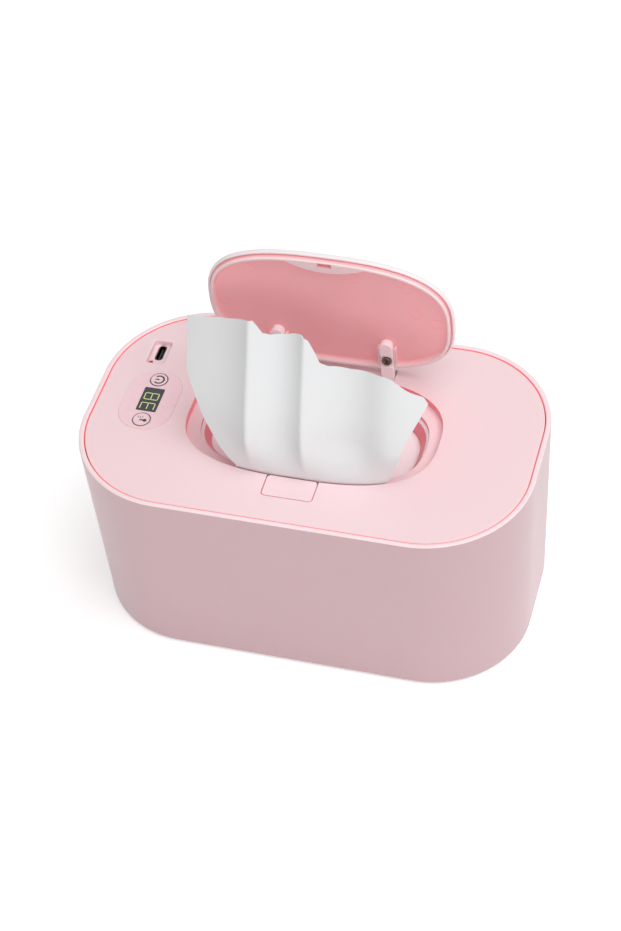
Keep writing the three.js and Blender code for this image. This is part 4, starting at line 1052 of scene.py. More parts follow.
class WARMER_OT_well(bpy.types.Operator):
    """Make the under cover with the well and the outlet for the wipes"""

    bl_idname = "warmer.well"
    bl_label = "Well"

    def execute(self, context):
        s = sizes()
        floor = well_floor_z()
        top = under_high.z
        inset = cover_inset() + s.skirt + s.gap
        low_x, low_y = s.hole_half_x - s.well_taper, s.hole_half_y - s.well_taper
        cover = solid("under_cover", [casing_ring(inset, z) for z in (under_low.z, floor)])
        wide = s.well_taper * (top - floor) / (ledge_z() - floor)
        collar = solid("collar", [
            oval_ring(low_x + s.well_wall, low_y + s.well_wall, floor - s.well_floor / 2),
            oval_ring(low_x + s.well_wall + s.well_taper, low_y + s.well_wall + s.well_taper, top)])
        parts = [collar, block(HOOK_GUIDE, floor), block(SPRING_STOP, floor)]
        combine("UNION", cover, parts)
        hollow = solid("hollow", [oval_ring(low_x - out, low_y - out, z) for out, z in [
            *bend((WELL_FILLET, floor), (0, floor), (0, floor + WELL_FILLET), 5),
            (-wide + WELL_EDGE, top - WELL_EDGE * 1.5), (-wide, top - WELL_EDGE / 4),
            (-wide - WELL_EDGE, top + OVERRUN)]])
        outlet = rounded_outline(s.outlet_half_x, s.outlet_half_y, s.outlet_half_y - s.gap, 16)
        tools = [hollow, mouth(outlet, under_low.z - OVERRUN, floor, OUTLET_EDGE), block(GUIDE_SLOT, floor)]
        tools += [rod(SCREW_BORE, x, y, under_low.z - OVERRUN, floor + OVERRUN) for x, y in post_places()]
        combine("DIFFERENCE", cover, tools)
        # Painted shade on the well's upright walls
        mark(smooth(cover), "deep", lambda at, normal: upright(normal) and at.z > floor)
        c = colours()
        made = plastic("well_plastic", c.well, 0.42, deep=c.painted_well_shade)
        dress(cover, "well_shell", "cover", made, ["under_cover"])
        return {"FINISHED"}


class WARMER_OT_lid(bpy.types.Operator):
    """Make the lid's outer plate and its inner tray"""

    bl_idname = "warmer.lid"
    bl_label = "Lid"

    def execute(self, context):
        s = sizes()
        c = colours()
        outline = oval_outline(s.recess_half_x - s.lid_gap, s.recess_half_y - s.lid_gap)
        edge = cover_z + LID_RISE
        band = edge - s.lid_edge_height
        under = edge - PLATE_DROP
        crown = [(s.lid_edge + (CROWN_REACH - s.lid_edge) * share,
                  edge + s.lid_crown * (1 - (1 - share) ** 2)) for share in CROWN_SHARES]
        outer = solid("lid_outer", through(outline, [
            (s.lid_band, under), (s.lid_band, band + BAND_ROUND),
            *bend((s.lid_band, band + BAND_ROUND), (s.lid_band, band),
                  (s.lid_band - BAND_ROUND, band))[1:],
            *bend((BAND_EDGES[0], band), (0, band), (0, band + BAND_EDGES[1])),
            *bend((0, edge - s.lid_edge), (0, edge), (s.lid_edge, edge), 5), *crown]))
        dress(opened(smooth(outer)), "lid_plate", "lid", plastic("lid_plastic", c.lid, 0.32),
              ["lid_outer"])
        lip = s.lid_band + s.lid_seam
        inner = lip + s.lip_width
        lip_z = band - s.lip_stand
        floor = lip_z + s.tray_depth
        curve = s.lip_width / 2
        tray = solid("lid_inner", through(outline, [
            *bend((inner + TRAY_FILLET, floor), (inner, floor), (inner, floor - TRAY_FILLET), 4),
            *bend((inner, lip_z + curve), (inner, lip_z), (inner - curve, lip_z), 4),
            *bend((lip + curve, lip_z), (lip, lip_z), (lip, lip_z + curve), 4)[1:],
            (lip, under - s.gap)]))
        half_x, half_y = (max(point[axis] for point in outline) - lip - curve for axis in range(2))
        radius = (s.tab_half ** 2 + s.tab_sag ** 2) / (2 * s.tab_sag)
        low_y = -half_y + TAB_INSET
        xs = [s.tab_half * (step / 24 - 1) for step in range(49)]
        front = [(x, -half_y * (1 - (abs(x) / half_x) ** s.oval_power) ** (1 / s.oval_power)) for x in xs]
        bow = [(x, low_y + math.sqrt(radius ** 2 - x ** 2) - radius + s.tab_sag + TAB_SINK)
               for x in reversed(xs)]
        tab = slab("tab", front + bow, lip_z, lip_z + TAB_THICKNESS, *TAB_EDGES)
        half, along = CATCH_SLOT
        slots = [box(about(0, half), along, (lip_z - OVERRUN, floor + CATCH_SLOT_SINK))]
        fins = []
        for x in (-s.arm_x, s.arm_x):
            fins += [box(about(middle, FIN_HALF), FIN_SPAN, (lip_z + FIN_SINK, floor + FIN_SINK))
                     for middle in about(x, FIN_PLACE)]
            slots.append(box(about(x, s.arm_width / 2 + s.gap), ARM_SLOT_SPAN,
                             (lip_z - OVERRUN, lip_z + ARM_SLOT_DEPTH)))
            slots.append(rod(ARM_SCREW_BORE, x, ARM_SCREW_Y, lip_z, cover_z))
        for fin in fins:
            room = solid("fin_room", [oval_ring(half_x, half_y, z) for z in (lip_z, cover_z)])
            combine("INTERSECT", fin, [room])
        combine("UNION", tray, [tab] + fins)
        made = plastic("tray_plastic", c.tray, 0.4, deep=c.painted_tray_floor_shade, glow=s.painted_tray_glow)
        wide, narrow = MARK_RADII
        section = [(wide, -MARK_DEPTH), (wide, MARK_DEPTH), (narrow, MARK_DEPTH), (narrow, -MARK_DEPTH)]
        ring = solid("mark", [at_height(circle(radius, 0, 0, 32), z) for radius, z in section], looped=True)
        marks = copies("marks", ring, [(x / 1000, y / 1000, floor) for x, y in EJECTOR_MARKS], made)
        smooth(combine("DIFFERENCE", tray, slots + [marks]))
        # Painted shade with painted glow, from none near the lip to full at the tray's floor
        shade = (lip_z + s.tray_depth / 3, floor - TRAY_SHADE)
        for name in ("deep", "lit"):
            mark(tray, name, lambda at, normal: smoothstep(at.z, *shade))
        dress(opened(tray), "lid_tray", "lid", made, ["lid_inner"])
        return {"FINISHED"}


def screw(name, head_radius, head_height, shank_radius, total, recess=0.55):
    """A screw with a domed cross-recessed head at the origin facing down, and its shank upwards."""
    section = [(head_radius * wide, head_height * up) for wide, up in HEAD_SHARES]
    section.append((shank_radius, head_height))
    core = pitch = shank_radius * THREAD_SHARE
    z = head_height + pitch / 2
    while z + pitch < total - shank_radius:
        section += [(core, z), (shank_radius, z + pitch / 2)]
        z += pitch
    section += [(core, total - core), (shank_radius * TIP_SHARE, total)]
    made = solid(name, [at_height(circle(radius, 0, 0, 32), z) for radius, z in section])
    reach = head_radius * recess
    thin_share, foot_share, depth_share = CROSS_SHARES
    slots = []
    for long, wide in ((reach, reach * thin_share), (reach * thin_share, reach)):
        slot = rectangle(about(0, long), about(0, wide))
        foot = [(x * foot_share, y * foot_share) for x, y in slot]
        slots.append(solid("cross", [at_height(slot, -CROSS_START),
                                     at_height(foot, head_height * depth_share)]))
    return combine("DIFFERENCE", made, slots)


class WARMER_OT_fixings(bpy.types.Operator):
    """Make the screws under the cover, on the board and in the hinge arms"""

    bl_idname = "warmer.fixings"
    bl_label = "Screws"

    def execute(self, context):
        steel = metal("screw_steel", colours().steel)
        for name, nodes, shape in (("cover_screws", COVER_SCREWS, COVER_SCREW),
                                   ("board_screws", BOARD_SCREWS, BOARD_SCREW)):
            spans = [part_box(one) for one in nodes]
            low, high = spans[0]
            piece = screw(name, *shape, high.z - low.z)
            level = low.z
            if nodes == BOARD_SCREWS:
                level = high.z
                piece.data.transform(Matrix.Rotation(math.pi, 4, "X"))
            places = [(*middle_of(*span), level) for span in spans]
            made = copies(name, smooth(piece), places, steel, 0.7)
            dress(smooth(made), name, "cover", steel, nodes)
        s = sizes()
        piece = screw("arm_screw", *ARM_SCREW, ARM_SCREW_LENGTH, ARM_SCREW_CROSS_SHARE)
        places = [(x, ARM_SCREW_Y, arm_low_z() - ARM_SCREW_SINK) for x in (-s.arm_x, s.arm_x)]
        nickel = metal("dark_nickel", colours().nickel, 0.2)
        made = opened(smooth(copies("arm_screws", smooth(piece), places, nickel, 0.5)))
        dress(made, "arm_screws", "lid", nickel, ["arm_screw_left", "arm_screw_right"])
        return {"FINISHED"}


def arm_low_z():
    return pivot.z - sizes().barrel_radius


class WARMER_OT_hinge(bpy.types.Operator):
    """Make the hinge arms, the pins and the lid's spring"""

    bl_idname = "warmer.hinge"
    bl_label = "Hinge"

    def execute(self, context):
        s = sizes()
        c = colours()
        low = arm_low_z()
        end, tail = pivot.y - s.arm_reach, pivot.y + ARM_TAIL
        near, far = ARM_STEP_SPAN
        step_z, top, neck_z = low + ARM_STEP, low + ARM_HEIGHT, pivot.z + ARM_NECK_RISE
        barrel = [(pivot.y + s.barrel_radius * math.sin(turn), pivot.z - s.barrel_radius * math.cos(turn))
                  for turn in [math.pi * step / 24 for step in range(20)]]
        profile = [(end, low), (near, low), (near, step_z), (far, step_z), (far, low), *barrel,
                   (pivot.y, neck_z), (ARM_NECK_Y, neck_z), (ARM_NECK_Y, top), (end, top)]
        # The arms' plastic glows a little as painted light
        thin = plastic("arm_plastic", c.arm, 0.36, **glowing(c.arm, 0.1))
        for x, name in ((-s.arm_x, "left"), (s.arm_x, "right")):
            half = s.arm_width / 2
            left, right = about(x, half)
            arm = side_view(profile, left, right)
            plan = rounded_outline(half, (tail - end) / 2, half, 14, (x, (tail + end) / 2))
            plan = [at for at in plan if at[1] < end + half * 1.001] + [(right, tail), (left, tail)]
            room = slab("plan", plan, low - OVERRUN, pivot.z + s.barrel_radius + OVERRUN)
            combine("INTERSECT", arm, [room])
            bevel(arm, ARM_EDGE, 3)
            combine("DIFFERENCE", arm, [
                cross_rod(PIN_BORE, left - OVERRUN, right + OVERRUN, pivot.y, pivot.z),
                rod(ARM_BORE, x, ARM_SCREW_Y, low - OVERRUN, top + OVERRUN)])
            dress(opened(smooth(arm)), "hinge_arm_" + name, "lid", thin, ["lid_arm_" + name])
            low_end, high_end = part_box("hinge_pin_" + name)
            pin = cross_rod((high_end.z - low_end.z) / 2, low_end.x, high_end.x, pivot.y, pivot.z, PIN_EDGE)
            dress(smooth(pin), "pin_" + name, "cover", metal("pin_steel", c.steel, 0.22),
                  ["hinge_pin_" + name])
        for name, turns, axis in (("lid_spring", 2.5, 0), ("latch_spring", 4, 1)):
            start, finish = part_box(name)
            place = (start + finish) / 2
            place[axis] = start[axis] + s.spring_wire / 2
            steel = metal("spring_steel", c.steel, 0.25)
            coil = grow(name, coil_tree(), Radius=((finish - start).z - s.spring_wire) / 2, Turns=turns,
                        Length=(finish - start)[axis] - s.spring_wire, Wire=s.spring_wire / 2, Material=steel)
            laid = (Matrix.Rotation(math.pi / 2, 4, "Y"), Matrix.Rotation(-math.pi / 2, 4, "X"))[axis]
            coil.data.transform(Matrix.Translation(place) @ laid)
            dress(smooth(coil, 60), name + "_wire", "cover", steel, [name])
        return {"FINISHED"}


class WARMER_OT_latch(bpy.types.Operator):
    """Make the latch button and the sliding hook under it"""

    bl_idname = "warmer.latch"
    bl_label = "Latch"

    def execute(self, context):
        s = sizes()
        c = colours()
        back = button_high.y
        front = -s.recess_half_y - s.latch_reach
        outline = rounded_outline(s.latch_half, (back - front) / 2, s.latch_corner, 8,
                                  (0, (front + back) / 2))
        top = button_high.z
        button = slab("latch_button", outline, top - BUTTON_THICKNESS, top, 0, BUTTON_EDGE)
        neck = block((s.latch_half, (front + s.latch_corner, BUTTON_NECK_END), BUTTON_NECK_SPAN), top)
        past, *flange = BUTTON_FLANGE
        combine("UNION", button, [neck, block((s.latch_half + past, *flange), top),
                                  side_view(STEM_SIDE, -STEM_HALF, STEM_HALF)])
        # Painted shade and painted glow on the button's upright sides, in its gap
        mark(smooth(button), "deep", lambda at, normal: upright(normal))
        mark(button, "lit", lambda at, normal: upright(normal) * s.wall_light)
        dress(button, "latch_key", "latch_button", cover_plastic(), ["latch_button"])
        slider = side_view(SLIDER_SIDE, -SLIDER_HALF, SLIDER_HALF)
        combine("UNION", slider, [side_view(HOOK_SIDE, -HOOK_HALF, HOOK_HALF)])
        dress(smooth(slider), "latch_catch", "latch_slider", plastic("hook_plastic", c.well, 0.4),
              ["latch_hook"])
        return {"FINISHED"}


# Symbols on the keys: places on the key, and the ring, dot or bar printed at each
RING = ((0, 0), {"Radius": 0.00385, "Width": 0.00042})
SYMBOLS = {
    "power": [RING, ((0, 0), {"Radius": 0.0022, "Width": 0.0008, "Gap": -0.72}),
              ((-0.0013, 0), {"Width": 0.0007, "Bar X": 0.0012})],
    "temperature": [RING, ((0.0016, -0.0004), {"Width": 0.0018}),
                    ((-0.0005, -0.0004), {"Width": 0.0008, "Bar X": 0.0019}),
                    *(((x, 0.0012), {"Width": 0.0003, "Bar Y": 0.0005}) for x in (-0.0018, -0.0008, 0.0002))],
}


@node_group("ShaderNodeTree", "printed_ink", {
    "Vector": ("Vector",), "Radius": ("Float", 0.0), "Width": ("Float", 0.0002), "Gap": ("Float", -2.0),
    "Bar X": ("Float", 0.0), "Bar Y": ("Float", 0.0)}, {"Mask": ("Float",)})
def ink_group(tree, source, sink):
    """A printed ring with a gap, or a bar, round the vector's zero, as a mask."""
    part = node(tree, "ShaderNodeSeparateXYZ", {0: source["Vector"]}).outputs
    # Distance from a bar with round ends, which is a point where its halves are zero
    squares = []
    for axis in "XY":
        past = maths(tree, "SUBTRACT", maths(tree, "ABSOLUTE", part[axis]), source["Bar " + axis])
        squares.append(maths(tree, "POWER", maths(tree, "MAXIMUM", past, 0.0), 2.0))
    away = maths(tree, "SQRT", maths(tree, "ADD", *squares))
    line = maths(tree, "ABSOLUTE", maths(tree, "SUBTRACT", away, source["Radius"]))
    inside = maths(tree, "SUBTRACT", maths(tree, "MULTIPLY", source["Width"], 0.5), line)
    clear = node(tree, "ShaderNodeClamp", {"Value": maths(tree, "DIVIDE", inside, INK_EDGE)}).outputs[0]
    side = maths(tree, "DIVIDE", maths(tree, "MULTIPLY", part["X"], -1.0), maths(tree, "MAXIMUM", away, 1e-6))
    shown = maths(tree, "LESS_THAN", side, maths(tree, "MULTIPLY", source["Gap"], -1.0))
    tree.links.new(maths(tree, "MULTIPLY", clear, shown), sink["Mask"])


def key_material(name, middle, symbol):
    """A key's plastic with ink printed on its top."""
    made = plastic(name, colours().key, 0.3)
    tree = made.node_tree
    base = tree.nodes["Principled BSDF"].inputs["Base Color"]
    place = object_place(tree)
    total = 0.0
    for (x, y), shape in symbol:
        centre = (middle[0] + x, middle[1] + y, 0)
        shift = node(tree, "ShaderNodeVectorMath", {0: place, 1: centre}, operation="SUBTRACT").outputs[0]
        total = maths(tree, "MAXIMUM", total, placed(tree, ink_group(), shift, **shape).outputs["Mask"])
    tree.links.new(mixed(tree, total, base.links[0].from_socket, colours().ink), base)
    return made


class WARMER_OT_controls(bpy.types.Operator):
    """Make the control label, the display window, its digits and the two keys"""

    bl_idname = "warmer.controls"
    bl_label = "Controls"

    def execute(self, context):
        s = sizes()
        c = colours()
        label = slab("control_label", label_outline(0), label_low.z, label_high.z, 0, LABEL_EDGE)
        holes = [window_outline(PRINT_GAP)]
        holes += [circle(s.key_radius + KEY_GAP, panel.x, y, KEY_STEPS) for _, y in key_places()]
        combine("DIFFERENCE", label, [mouth(hole, label_low.z - OVERRUN, label_high.z, PRINT_EDGE)
                                      for hole in holes])
        # The label's film glows a little as painted light
        film = plastic("label_film", c.label, 0.28, **glowing(c.label, 0.05))
        dress(smooth(label), "label_sheet", "cover", film, ["control_label"])
        glass = surface("window_glass", c.glass, 0.08, grain=300.0, bump=0.0, drift=0.1, spread=0.02,
                        Specular_IOR_Level=0.6)
        pane = slab("display_window", window_outline(0), window_low.z, window_high.z, 0, PANE_EDGE)
        dress(smooth(pane), "display_pane", "cover", glass, ["display_window"])
        lit = surface("lit_digit", c.digit, 0.5, bump=0.0, drift=0.02, **glowing(c.digit, 0.12))
        dress(self.digits(), "display_digits", "cover", lit)
        past, thickness = KEY_FLANGE
        for name, y in key_places():
            low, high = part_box(name + "_button")
            key = slab(name, circle(s.key_radius, panel.x, y, KEY_STEPS), low.z, high.z, 0, KEY_EDGE)
            rim = circle(s.key_radius + past, panel.x, y, KEY_STEPS)
            combine("UNION", key, [slab("flange", rim, low.z, low.z + thickness)])
            made = key_material(name + "_print", (panel.x, y), SYMBOLS[name])
            dress(smooth(key), name + "_key_top", name + "_key", made, [name + "_button"])
        return {"FINISHED"}

    def digits(self):
        """The number 38 in seven bars for a digit, with its top to the left end of the casing."""
        half = DIGIT_LINE / 2
        tall, wide = (size / 2 - DIGIT_LINE * DIGIT_GAP_SHARE for size in (DIGIT_TALL, DIGIT_WIDE))
        bars = [(down, 0, half, wide) for down in (-DIGIT_TALL, 0, DIGIT_TALL)]
        bars += [(down, DIGIT_WIDE / 2, tall, half) for down in (-DIGIT_TALL / 2, DIGIT_TALL / 2)]
        left = [(down, -DIGIT_WIDE / 2, tall, half) for down in (-DIGIT_TALL / 2, DIGIT_TALL / 2)]
        three, eight = DIGIT_PLACES
        rise = [window_high.z + share for share in DIGIT_RISE]
        first, *others = [box(about(panel.x + down, half_x), about(panel.y + shift + across, half_y), rise)
                          for shift, shown in ((three, bars), (eight, bars + left))
                          for down, across, half_x, half_y in shown]
        return combine("UNION", first, others)


class WARMER_OT_power(bpy.types.Operator):
    """Make the charging socket and the power light"""

    bl_idname = "warmer.power"
    bl_label = "Socket and light"

    def execute(self, context):
        c = colours()
        mouth_z = socket_high.z
        can = slab("usb_socket", socket_outline(0), socket_low.z, mouth_z, 0, PRINT_EDGE)
        bore = slab("bore", socket_outline(-SOCKET_SHELL), mouth_z - SOCKET_DEPTH, mouth_z + OVERRUN)
        combine("DIFFERENCE", can, [bore])
        dress(smooth(can), "usb_can", "cover", metal("socket_steel", c.can, 0.3), ["usb_socket"])
        spans = [about(middle, half) for middle, half in zip(middle_of(socket_low, socket_high), TONGUE_HALF)]
        tongue = box(*spans, (mouth_z - TONGUE_ROOT, mouth_z - TONGUE_TOP))
        low, high = (mouth_z - depth for depth in SOCKET_FLOOR)
        floor = slab("floor", socket_outline(-SOCKET_FLOOR_INSET), low, high)
        combine("UNION", tongue, [floor])
        dress(smooth(tongue), "usb_tongue", "cover", surface("black_plastic", c.black, 0.5))
        radius = (lamp_high.x - lamp_low.x) / 2
        lamp = slab("power_indicator", circle(radius, *middle_of(lamp_low, lamp_high), 24),
                    lamp_low.z, lamp_high.z, 0, radius * LAMP_ROUND_SHARE)
        light = surface("lamp_lens", c.lamp, 0.2, bump=0.0)
        dress(smooth(lamp), "power_lamp", "cover", light, ["power_indicator"])
        return {"FINISHED"}


# The wipe in millimetres. Side view: forward of its root, and height over the well's floor
WIPE_SIDE = [(0, -5), (0.2, 0.4), (3.7, 2), (9.4, 3.4), (14.6, 5), (18, 7.2), (20.2, 9.2), (22.8, 9.4),
             (25, 9.9), (25.8, 11.3), (26.1, 14), (26.2, 18), (25.8, 23), (24.2, 28.5), (20.6, 35),
             (13.8, 44), (4.4, 55.5), (-7.7, 71.3)]
# Its side edges: share of its height, and place along X
WIPE_LEFT = [(0, -28), (0.24, -25.6), (0.35, -34.5), (0.45, -41.5), (0.54, -46), (0.63, -51), (1, -54.8)]
WIPE_RIGHT = [(0, 32), (0.16, 34.5), (0.26, 41), (0.4, 44), (0.54, 48.4), (0.66, 54), (1, 56)]
# Its top edge: share across, and share of its height, with a peak, a hump, a drop and a low hump
WIPE_TOP = [(0, 0.865), (0.19, 0.93), (0.28, 0.98), (0.295, 0.98), (0.33, 0.91), (0.36, 0.895),
            (0.42, 0.9), (0.485, 0.935), (0.51, 0.92), (0.56, 0.8), (0.59, 0.78), (0.68, 0.765),
            (0.82, 0.785), (0.85, 0.78), (0.92, 0.73), (0.98, 0.7), (1, 0.67)]
# Its folds: place along X, how far back the cloth lies there, and its slope before and after
WIPE_FOLDS = [(-60, 16, -0.65, -0.65), (-21.3, -2.5, -0.95, 1.0), (2.2, -1.2, -1.1, 1.1),
              (15, 6.8, 0.3, 0.3), (30, 5.2, -0.5, -0.5), (39, 2.6, 0.05, 0.05), (60, 11, 0.6, 0.6)]
# How far a fold leans to one side over the wipe's height, and the share of the height where it doesn't
WIPE_LEAN = 7.4
WIPE_LEAN_SHARE = 0.72
# Places near a point, and the share that each has in how far back it lies
WIPE_SOFTEN = [(-1, 0.1), (-0.5, 0.24), (0, 0.32), (0.5, 0.24), (1, 0.1)]
# Shares of the height between which the cloth comes free, and where it bows round the recess's edge
WIPE_FREE_SHARES = (0.235, 0.46)
WIPE_BOW = (8, 18)
WIPE_ROOT = 0.0009
WIPE_COLUMNS = 170
WIPE_ROWS = 130
# The catch's hook under the cloth: where it ends to the sides and in front, and its height
CATCH_SIDES = (3.4, 6.2)
CATCH_FRONT = (18.6, 20.4)
CATCH_TOP = 11.9
CATCH_SHARE = 0.92


def read(table, at):
    """The value between the table's rows."""
    for low, high in zip(table, table[1:]):
        if at <= high[0] or high == table[-1]:
            return low[1] + (high[1] - low[1]) * (at - low[0]) / (high[0] - low[0])


def fold(x):
    """How far back the cloth lies at a place along X: hollows between ridges."""
    for low, high in zip(WIPE_FOLDS, WIPE_FOLDS[1:]):
        if x <= high[0] or high == WIPE_FOLDS[-1]:
            wide = high[0] - low[0]
            t = (x - low[0]) / wide
            return (low[1] * (1 + t * t * (2 * t - 3)) + high[1] * t * t * (3 - 2 * t)
                    + low[3] * wide * t * (t - 1) ** 2 + high[2] * wide * t * t * (t - 1))


def through_points(points, steps=40):
    """A smooth line through the points, close together where they are."""
    ends = [2 * points[0] - points[1], *points, 2 * points[-1] - points[-2]]
    line = []
    for a, b, c, d in zip(ends, ends[1:], ends[2:], ends[3:]):
        gaps = [max((q - p).length ** 0.5, 1e-6) for p, q in ((a, b), (b, c), (c, d))]
        first = ((b - a) / gaps[0] - (c - a) / (gaps[0] + gaps[1]) + (c - b) / gaps[1]) * gaps[1]
        last = ((c - b) / gaps[1] - (d - b) / (gaps[1] + gaps[2]) + (d - c) / gaps[2]) * gaps[1]
        for step in range(steps):
            t = step / steps
            line.append(b * (1 + t * t * (2 * t - 3)) + c * t * t * (3 - 2 * t)
                        + first * t * (t - 1) ** 2 + last * t * t * (t - 1))
    return line + [points[-1]]


class WARMER_OT_wipe(bpy.types.Operator):
    """Make the wipe that stands out of the outlet"""

    bl_idname = "warmer.wipe"
    bl_label = "Wipe"

    def execute(self, context):
        s = sizes()
        floor = well_floor_z()
        root_y = WIPE_ROOT - s.outlet_half_y
        side = through_points([Vector((0, root_y - out / 1000, floor + up / 1000)) for out, up in WIPE_SIDE])
        root_z, total = side[0].z, side[-1].z - side[0].z
        run = [0.0]
        for low, high in zip(side, side[1:]):
            run.append(run[-1] + (high - low).length)
        steps = [(length, index) for index, length in enumerate(run)]
        heights = [((point.z - root_z) / total, length) for point, length in zip(side, run)]
        points = []
        for row in range(WIPE_ROWS + 1):
            for column in range(WIPE_COLUMNS + 1):
                across = column / WIPE_COLUMNS
                index = read(steps, read(heights, read(WIPE_TOP, across)) * row / WIPE_ROWS)
                step = min(int(index), len(side) - 2)
                place = side[step].lerp(side[step + 1], index - step)
                height = (place.z - root_z) / total
                left, right = read(WIPE_LEFT, height), read(WIPE_RIGHT, height)
                x = left + (right - left) * across
                free = smoothstep(height, *WIPE_FREE_SHARES)
                lean = x - WIPE_LEAN * (WIPE_LEAN_SHARE - height)
                back = sum(fold(lean + near) * share for near, share in WIPE_SOFTEN)
                out = (root_y - place.y) * 1000
                bow = self.bow(x / 1000) * smoothstep(out, *WIPE_BOW)
                lift = self.catch_lift(x, out, (place.z - floor) * 1000)
                points.append((x / 1000, place.y + (1 - free) * bow + free * back / 1000,
                               place.z + lift / 1000))
        wide = WIPE_COLUMNS + 1
        faces = [(at, at + 1, at + wide + 1, at + wide) for row in range(WIPE_ROWS)
                 for at in range(row * wide, row * wide + WIPE_COLUMNS)]
        mesh = bpy.data.meshes.new("wipe_sheet")
        mesh.from_pydata(points, [], faces)
        sheet = link("wipe_sheet", mesh)
        thick = sheet.modifiers.new("thickness", "SOLIDIFY")
        thick.thickness = s.wipe_thickness
        thick.offset = 0
        settle(sheet)
        clean(sheet.data)
        dress(smooth(sheet, 60), "wipe_sheet", "cover", wipe_material(), ["wipe"])
        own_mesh(sheet)
        return {"FINISHED"}

    def bow(self, x):
        """How far back the recess's front edge lies at a place along X."""
        s = sizes()
        share = min(abs(x) / s.recess_half_x, 0.98)
        return s.recess_half_y * (1 - (1 - share ** s.oval_power) ** (1 / s.oval_power))

    def catch_lift(self, x, out, up):
        """The cloth passes over the catch's hook, which stands in front of the well."""
        beside = 1 - smoothstep(abs(x), *CATCH_SIDES)
        return CATCH_SHARE * beside * smoothstep(out, *CATCH_FRONT) * max(0, CATCH_TOP - up)


def wipe_material():
    """Wet cloth: the plain surface with its fibres pressed over the grain."""
    made = surface("wet_cloth", colours().wipe, 0.72, bump=0.1, Specular_IOR_Level=0.25,
                   Subsurface_Weight=0.12, Subsurface_Radius=(0.002, 0.002, 0.002))
    tree = made.node_tree
    normal = tree.nodes["Principled BSDF"].inputs["Normal"]
    fibres = placed(tree, fibre_group(), object_place(tree), Scale=700.0, Stretch=4.0).outputs["Height"]
    tree.links.new(relief(tree, fibres, 0.3, FIBRE_HEIGHT, Normal=normal.links[0].from_socket), normal)
    return made


class WARMER_OT_inner_parts(bpy.types.Operator):
    """Give the parts that stay inside the casing their materials"""

    bl_idname = "warmer.inner_parts"
    bl_label = "Inner parts"

    def execute(self, context):
        c = colours()
        foam = surface("insulation_foam", c.foam, 0.9, grain=700.0, bump=0.8, drift=0.06)
        gasket = surface("gasket_rubber", c.gasket, 0.7, grain=1500.0, bump=0.3)
        black = surface("black_plastic", c.black, 0.5)
        made = {
            "insulation_sleeve": foam, "insulation_pad": foam, "cover_gasket": gasket,
            "heater_film": surface("heater_film", c.film, 0.3, grain=200.0, bump=0.05, drift=0.12),
            "warming_plate": metal("brushed_aluminium", c.aluminium, 0.35),
            "control_board": surface("board_resist", c.board, 0.35, grain=400.0, bump=0.1, drift=0.1),
            "thermistor": black, "thermal_fuse": metal("fuse_can", c.steel, 0.3), "heater_lead": black,
            "display_module": black, "power_switch": black, "temperature_switch": black,
        }
        for name, material in made.items():
            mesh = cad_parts[name].data
            mesh.materials.clear()
            mesh.materials.append(material)
        return {"FINISHED"}


# The camera: angles in degrees, distance in metres, and focal length, aim and frame in pixels
AZIMUTH = 19.93
ELEVATION = 46.67
ROLL = -6.04
DISTANCE = 0.97559
FOCAL = 2191.28
AIM = (321.11, 498.34)
FRAME = (621, 931)
MIDDLE = Vector((0, 0, 0.046))
SENSOR = 36
LIGHT_AIM = Vector((0, 0, 0.08))
FLOOR_LIFT = 0.42
WORLD_FILL = 0.3


def camera_axes():
    azimuth, elevation, roll = (math.radians(value) for value in (AZIMUTH, ELEVATION, ROLL))
    back = Vector((math.sin(azimuth) * math.cos(elevation), -math.cos(azimuth) * math.cos(elevation),
                   math.sin(elevation)))
    right = (-back).cross(Vector((0, 0, 1))).normalized()
    up = right.cross(-back)
    return (right * math.cos(roll) + up * math.sin(roll), up * math.cos(roll) - right * math.sin(roll), back)


def area_light(name, place, size, power):
    data = bpy.data.lights.new(name, "AREA")
    data.shape = "RECTANGLE"
    data.size, data.size_y = size
    data.energy = power
    light = link(name, data)
    light.location = place
    light.rotation_euler = (LIGHT_AIM - Vector(place)).to_track_quat("-Z", "Y").to_euler()


def seen_rays(tree):
    """Rays from the camera, and those that reflections and glass show."""
    path = node(tree, "ShaderNodeLightPath").outputs
    return maths(tree, "MAXIMUM", path["Is Camera Ray"],
                 maths(tree, "MAXIMUM", path["Is Glossy Ray"], path["Is Transmission Ray"]))


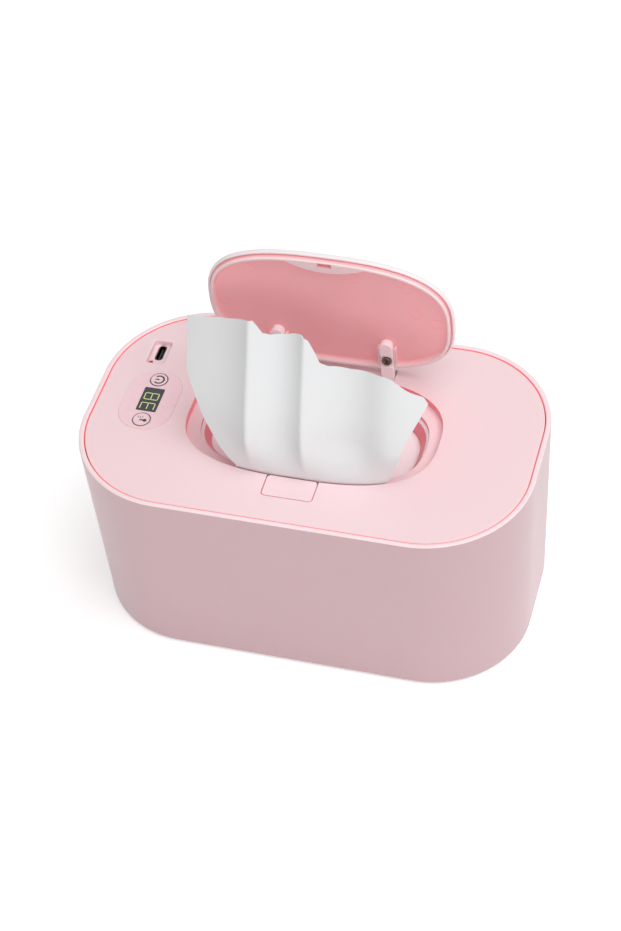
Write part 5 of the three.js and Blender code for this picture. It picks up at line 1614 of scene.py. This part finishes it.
class WARMER_OT_stage(bpy.types.Operator):
    """Set the floor, the world, the lights and the camera"""

    bl_idname = "warmer.stage"
    bl_label = "Stage"

    def execute(self, context):
        scene = context.scene
        scene.view_settings.view_transform = "Standard"
        floor = slab("studio_floor", rectangle((-3, 3), (-3, 3)), -0.01, 0)
        floor.data.materials.append(self.floor_material())
        self.world(scene)
        area_light("key_light", (0.55, -0.1, 1.5), (1.4, 1.4), 17.6)
        area_light("front_fill", (0.3, -1.8, 0.8), (1.2, 0.8), 8)
        right, up, back = camera_axes()
        data = bpy.data.cameras.new("camera")
        data.sensor_fit = "VERTICAL"
        data.sensor_width = data.sensor_height = SENSOR
        data.lens = FOCAL / FRAME[1] * SENSOR
        data.clip_start, data.clip_end = 0.05, 20
        camera = link("camera", data)
        aim_x = (AIM[0] - FRAME[0] / 2) / FOCAL * DISTANCE
        aim_y = -(AIM[1] - FRAME[1] / 2) / FOCAL * DISTANCE
        camera.location = MIDDLE - aim_x * right - aim_y * up + DISTANCE * back
        camera.rotation_euler = Matrix((right, up, back)).transposed().to_euler()
        scene.camera = camera
        return {"FINISHED"}

    def floor_material(self):
        """A near-white matt floor, lifted to white where it is seen, but for the object's shadow."""
        made = bpy.data.materials.new("studio_floor")
        made.use_nodes = True
        tree = made.node_tree
        shader = tree.nodes["Principled BSDF"]
        tone = placed(tree, tone_group(), object_place(tree), Colour=(0.9, 0.9, 0.9, 1), Scale=2.0,
                      Amount=0.01)
        tree.links.new(tone.outputs["Colour"], shader.inputs["Base Color"])
        shader.inputs["Roughness"].default_value = 0.9
        shader.inputs["Specular IOR Level"].default_value = 0.1
        lift = node(tree, "ShaderNodeEmission", {"Strength": FLOOR_LIFT}).outputs[0]
        off = node(tree, "ShaderNodeBsdfTransparent", {"Color": (0, 0, 0, 1)}).outputs[0]
        seen = node(tree, "ShaderNodeMixShader", {0: seen_rays(tree), 1: off, 2: lift}).outputs[0]
        total = node(tree, "ShaderNodeAddShader", {0: shader.outputs[0], 1: seen}).outputs[0]
        tree.links.new(total, tree.nodes["Material Output"].inputs["Surface"])
        return made

    def world(self, scene):
        """Soft fill for the object, and white where the surroundings are seen."""
        world = bpy.data.worlds.new("studio")
        world.use_nodes = True
        tree = world.node_tree
        tree.nodes.clear()
        fill, white = (node(tree, "ShaderNodeBackground", {"Color": tint, "Strength": strength}).outputs[0]
                       for tint, strength in (((1, 0.99, 0.985, 1), WORLD_FILL), ((1, 1, 1, 1), 1.0)))
        mix = node(tree, "ShaderNodeMixShader", {0: seen_rays(tree), 1: fill, 2: white}).outputs[0]
        node(tree, "ShaderNodeOutputWorld", {"Surface": mix})
        scene.world = world


class WARMER_PT_panel(bpy.types.Panel):
    """Lists the steps that build the warmer, its sizes and its colours"""

    bl_idname = "WARMER_PT_panel"
    bl_label = "Wipe warmer"
    bl_space_type = "VIEW_3D"
    bl_region_type = "UI"
    bl_category = "Wipe warmer"

    def draw(self, context):
        column = self.layout.column(align=True)
        for operator in OPERATORS:
            column.operator(operator.bl_idname)
        for group in (context.scene.warmer_sizes, context.scene.warmer_colours):
            column.separator()
            for name in group.__annotations__:
                column.prop(group, name)


OPERATORS = (WARMER_OT_casing, WARMER_OT_tub, WARMER_OT_cover, WARMER_OT_well, WARMER_OT_lid,
             WARMER_OT_hinge, WARMER_OT_fixings, WARMER_OT_latch, WARMER_OT_controls, WARMER_OT_power,
             WARMER_OT_wipe, WARMER_OT_inner_parts, WARMER_OT_stage)
CLASSES = (WarmerSizes, WarmerColours, *OPERATORS, WARMER_PT_panel)


def register():
    for made in CLASSES:
        bpy.utils.register_class(made)
    bpy.types.Scene.warmer_sizes = PointerProperty(type=WarmerSizes)
    bpy.types.Scene.warmer_colours = PointerProperty(type=WarmerColours)


def unregister():
    del bpy.types.Scene.warmer_colours
    del bpy.types.Scene.warmer_sizes
    for made in reversed(CLASSES):
        bpy.utils.unregister_class(made)


def main():
    register()
    for operator in OPERATORS:
        group, name = operator.bl_idname.split(".")
        if getattr(getattr(bpy.ops, group), name)() != {"FINISHED"}:
            raise RuntimeError(operator.bl_label + " did not finish")


if __name__ == "__main__":
    main()
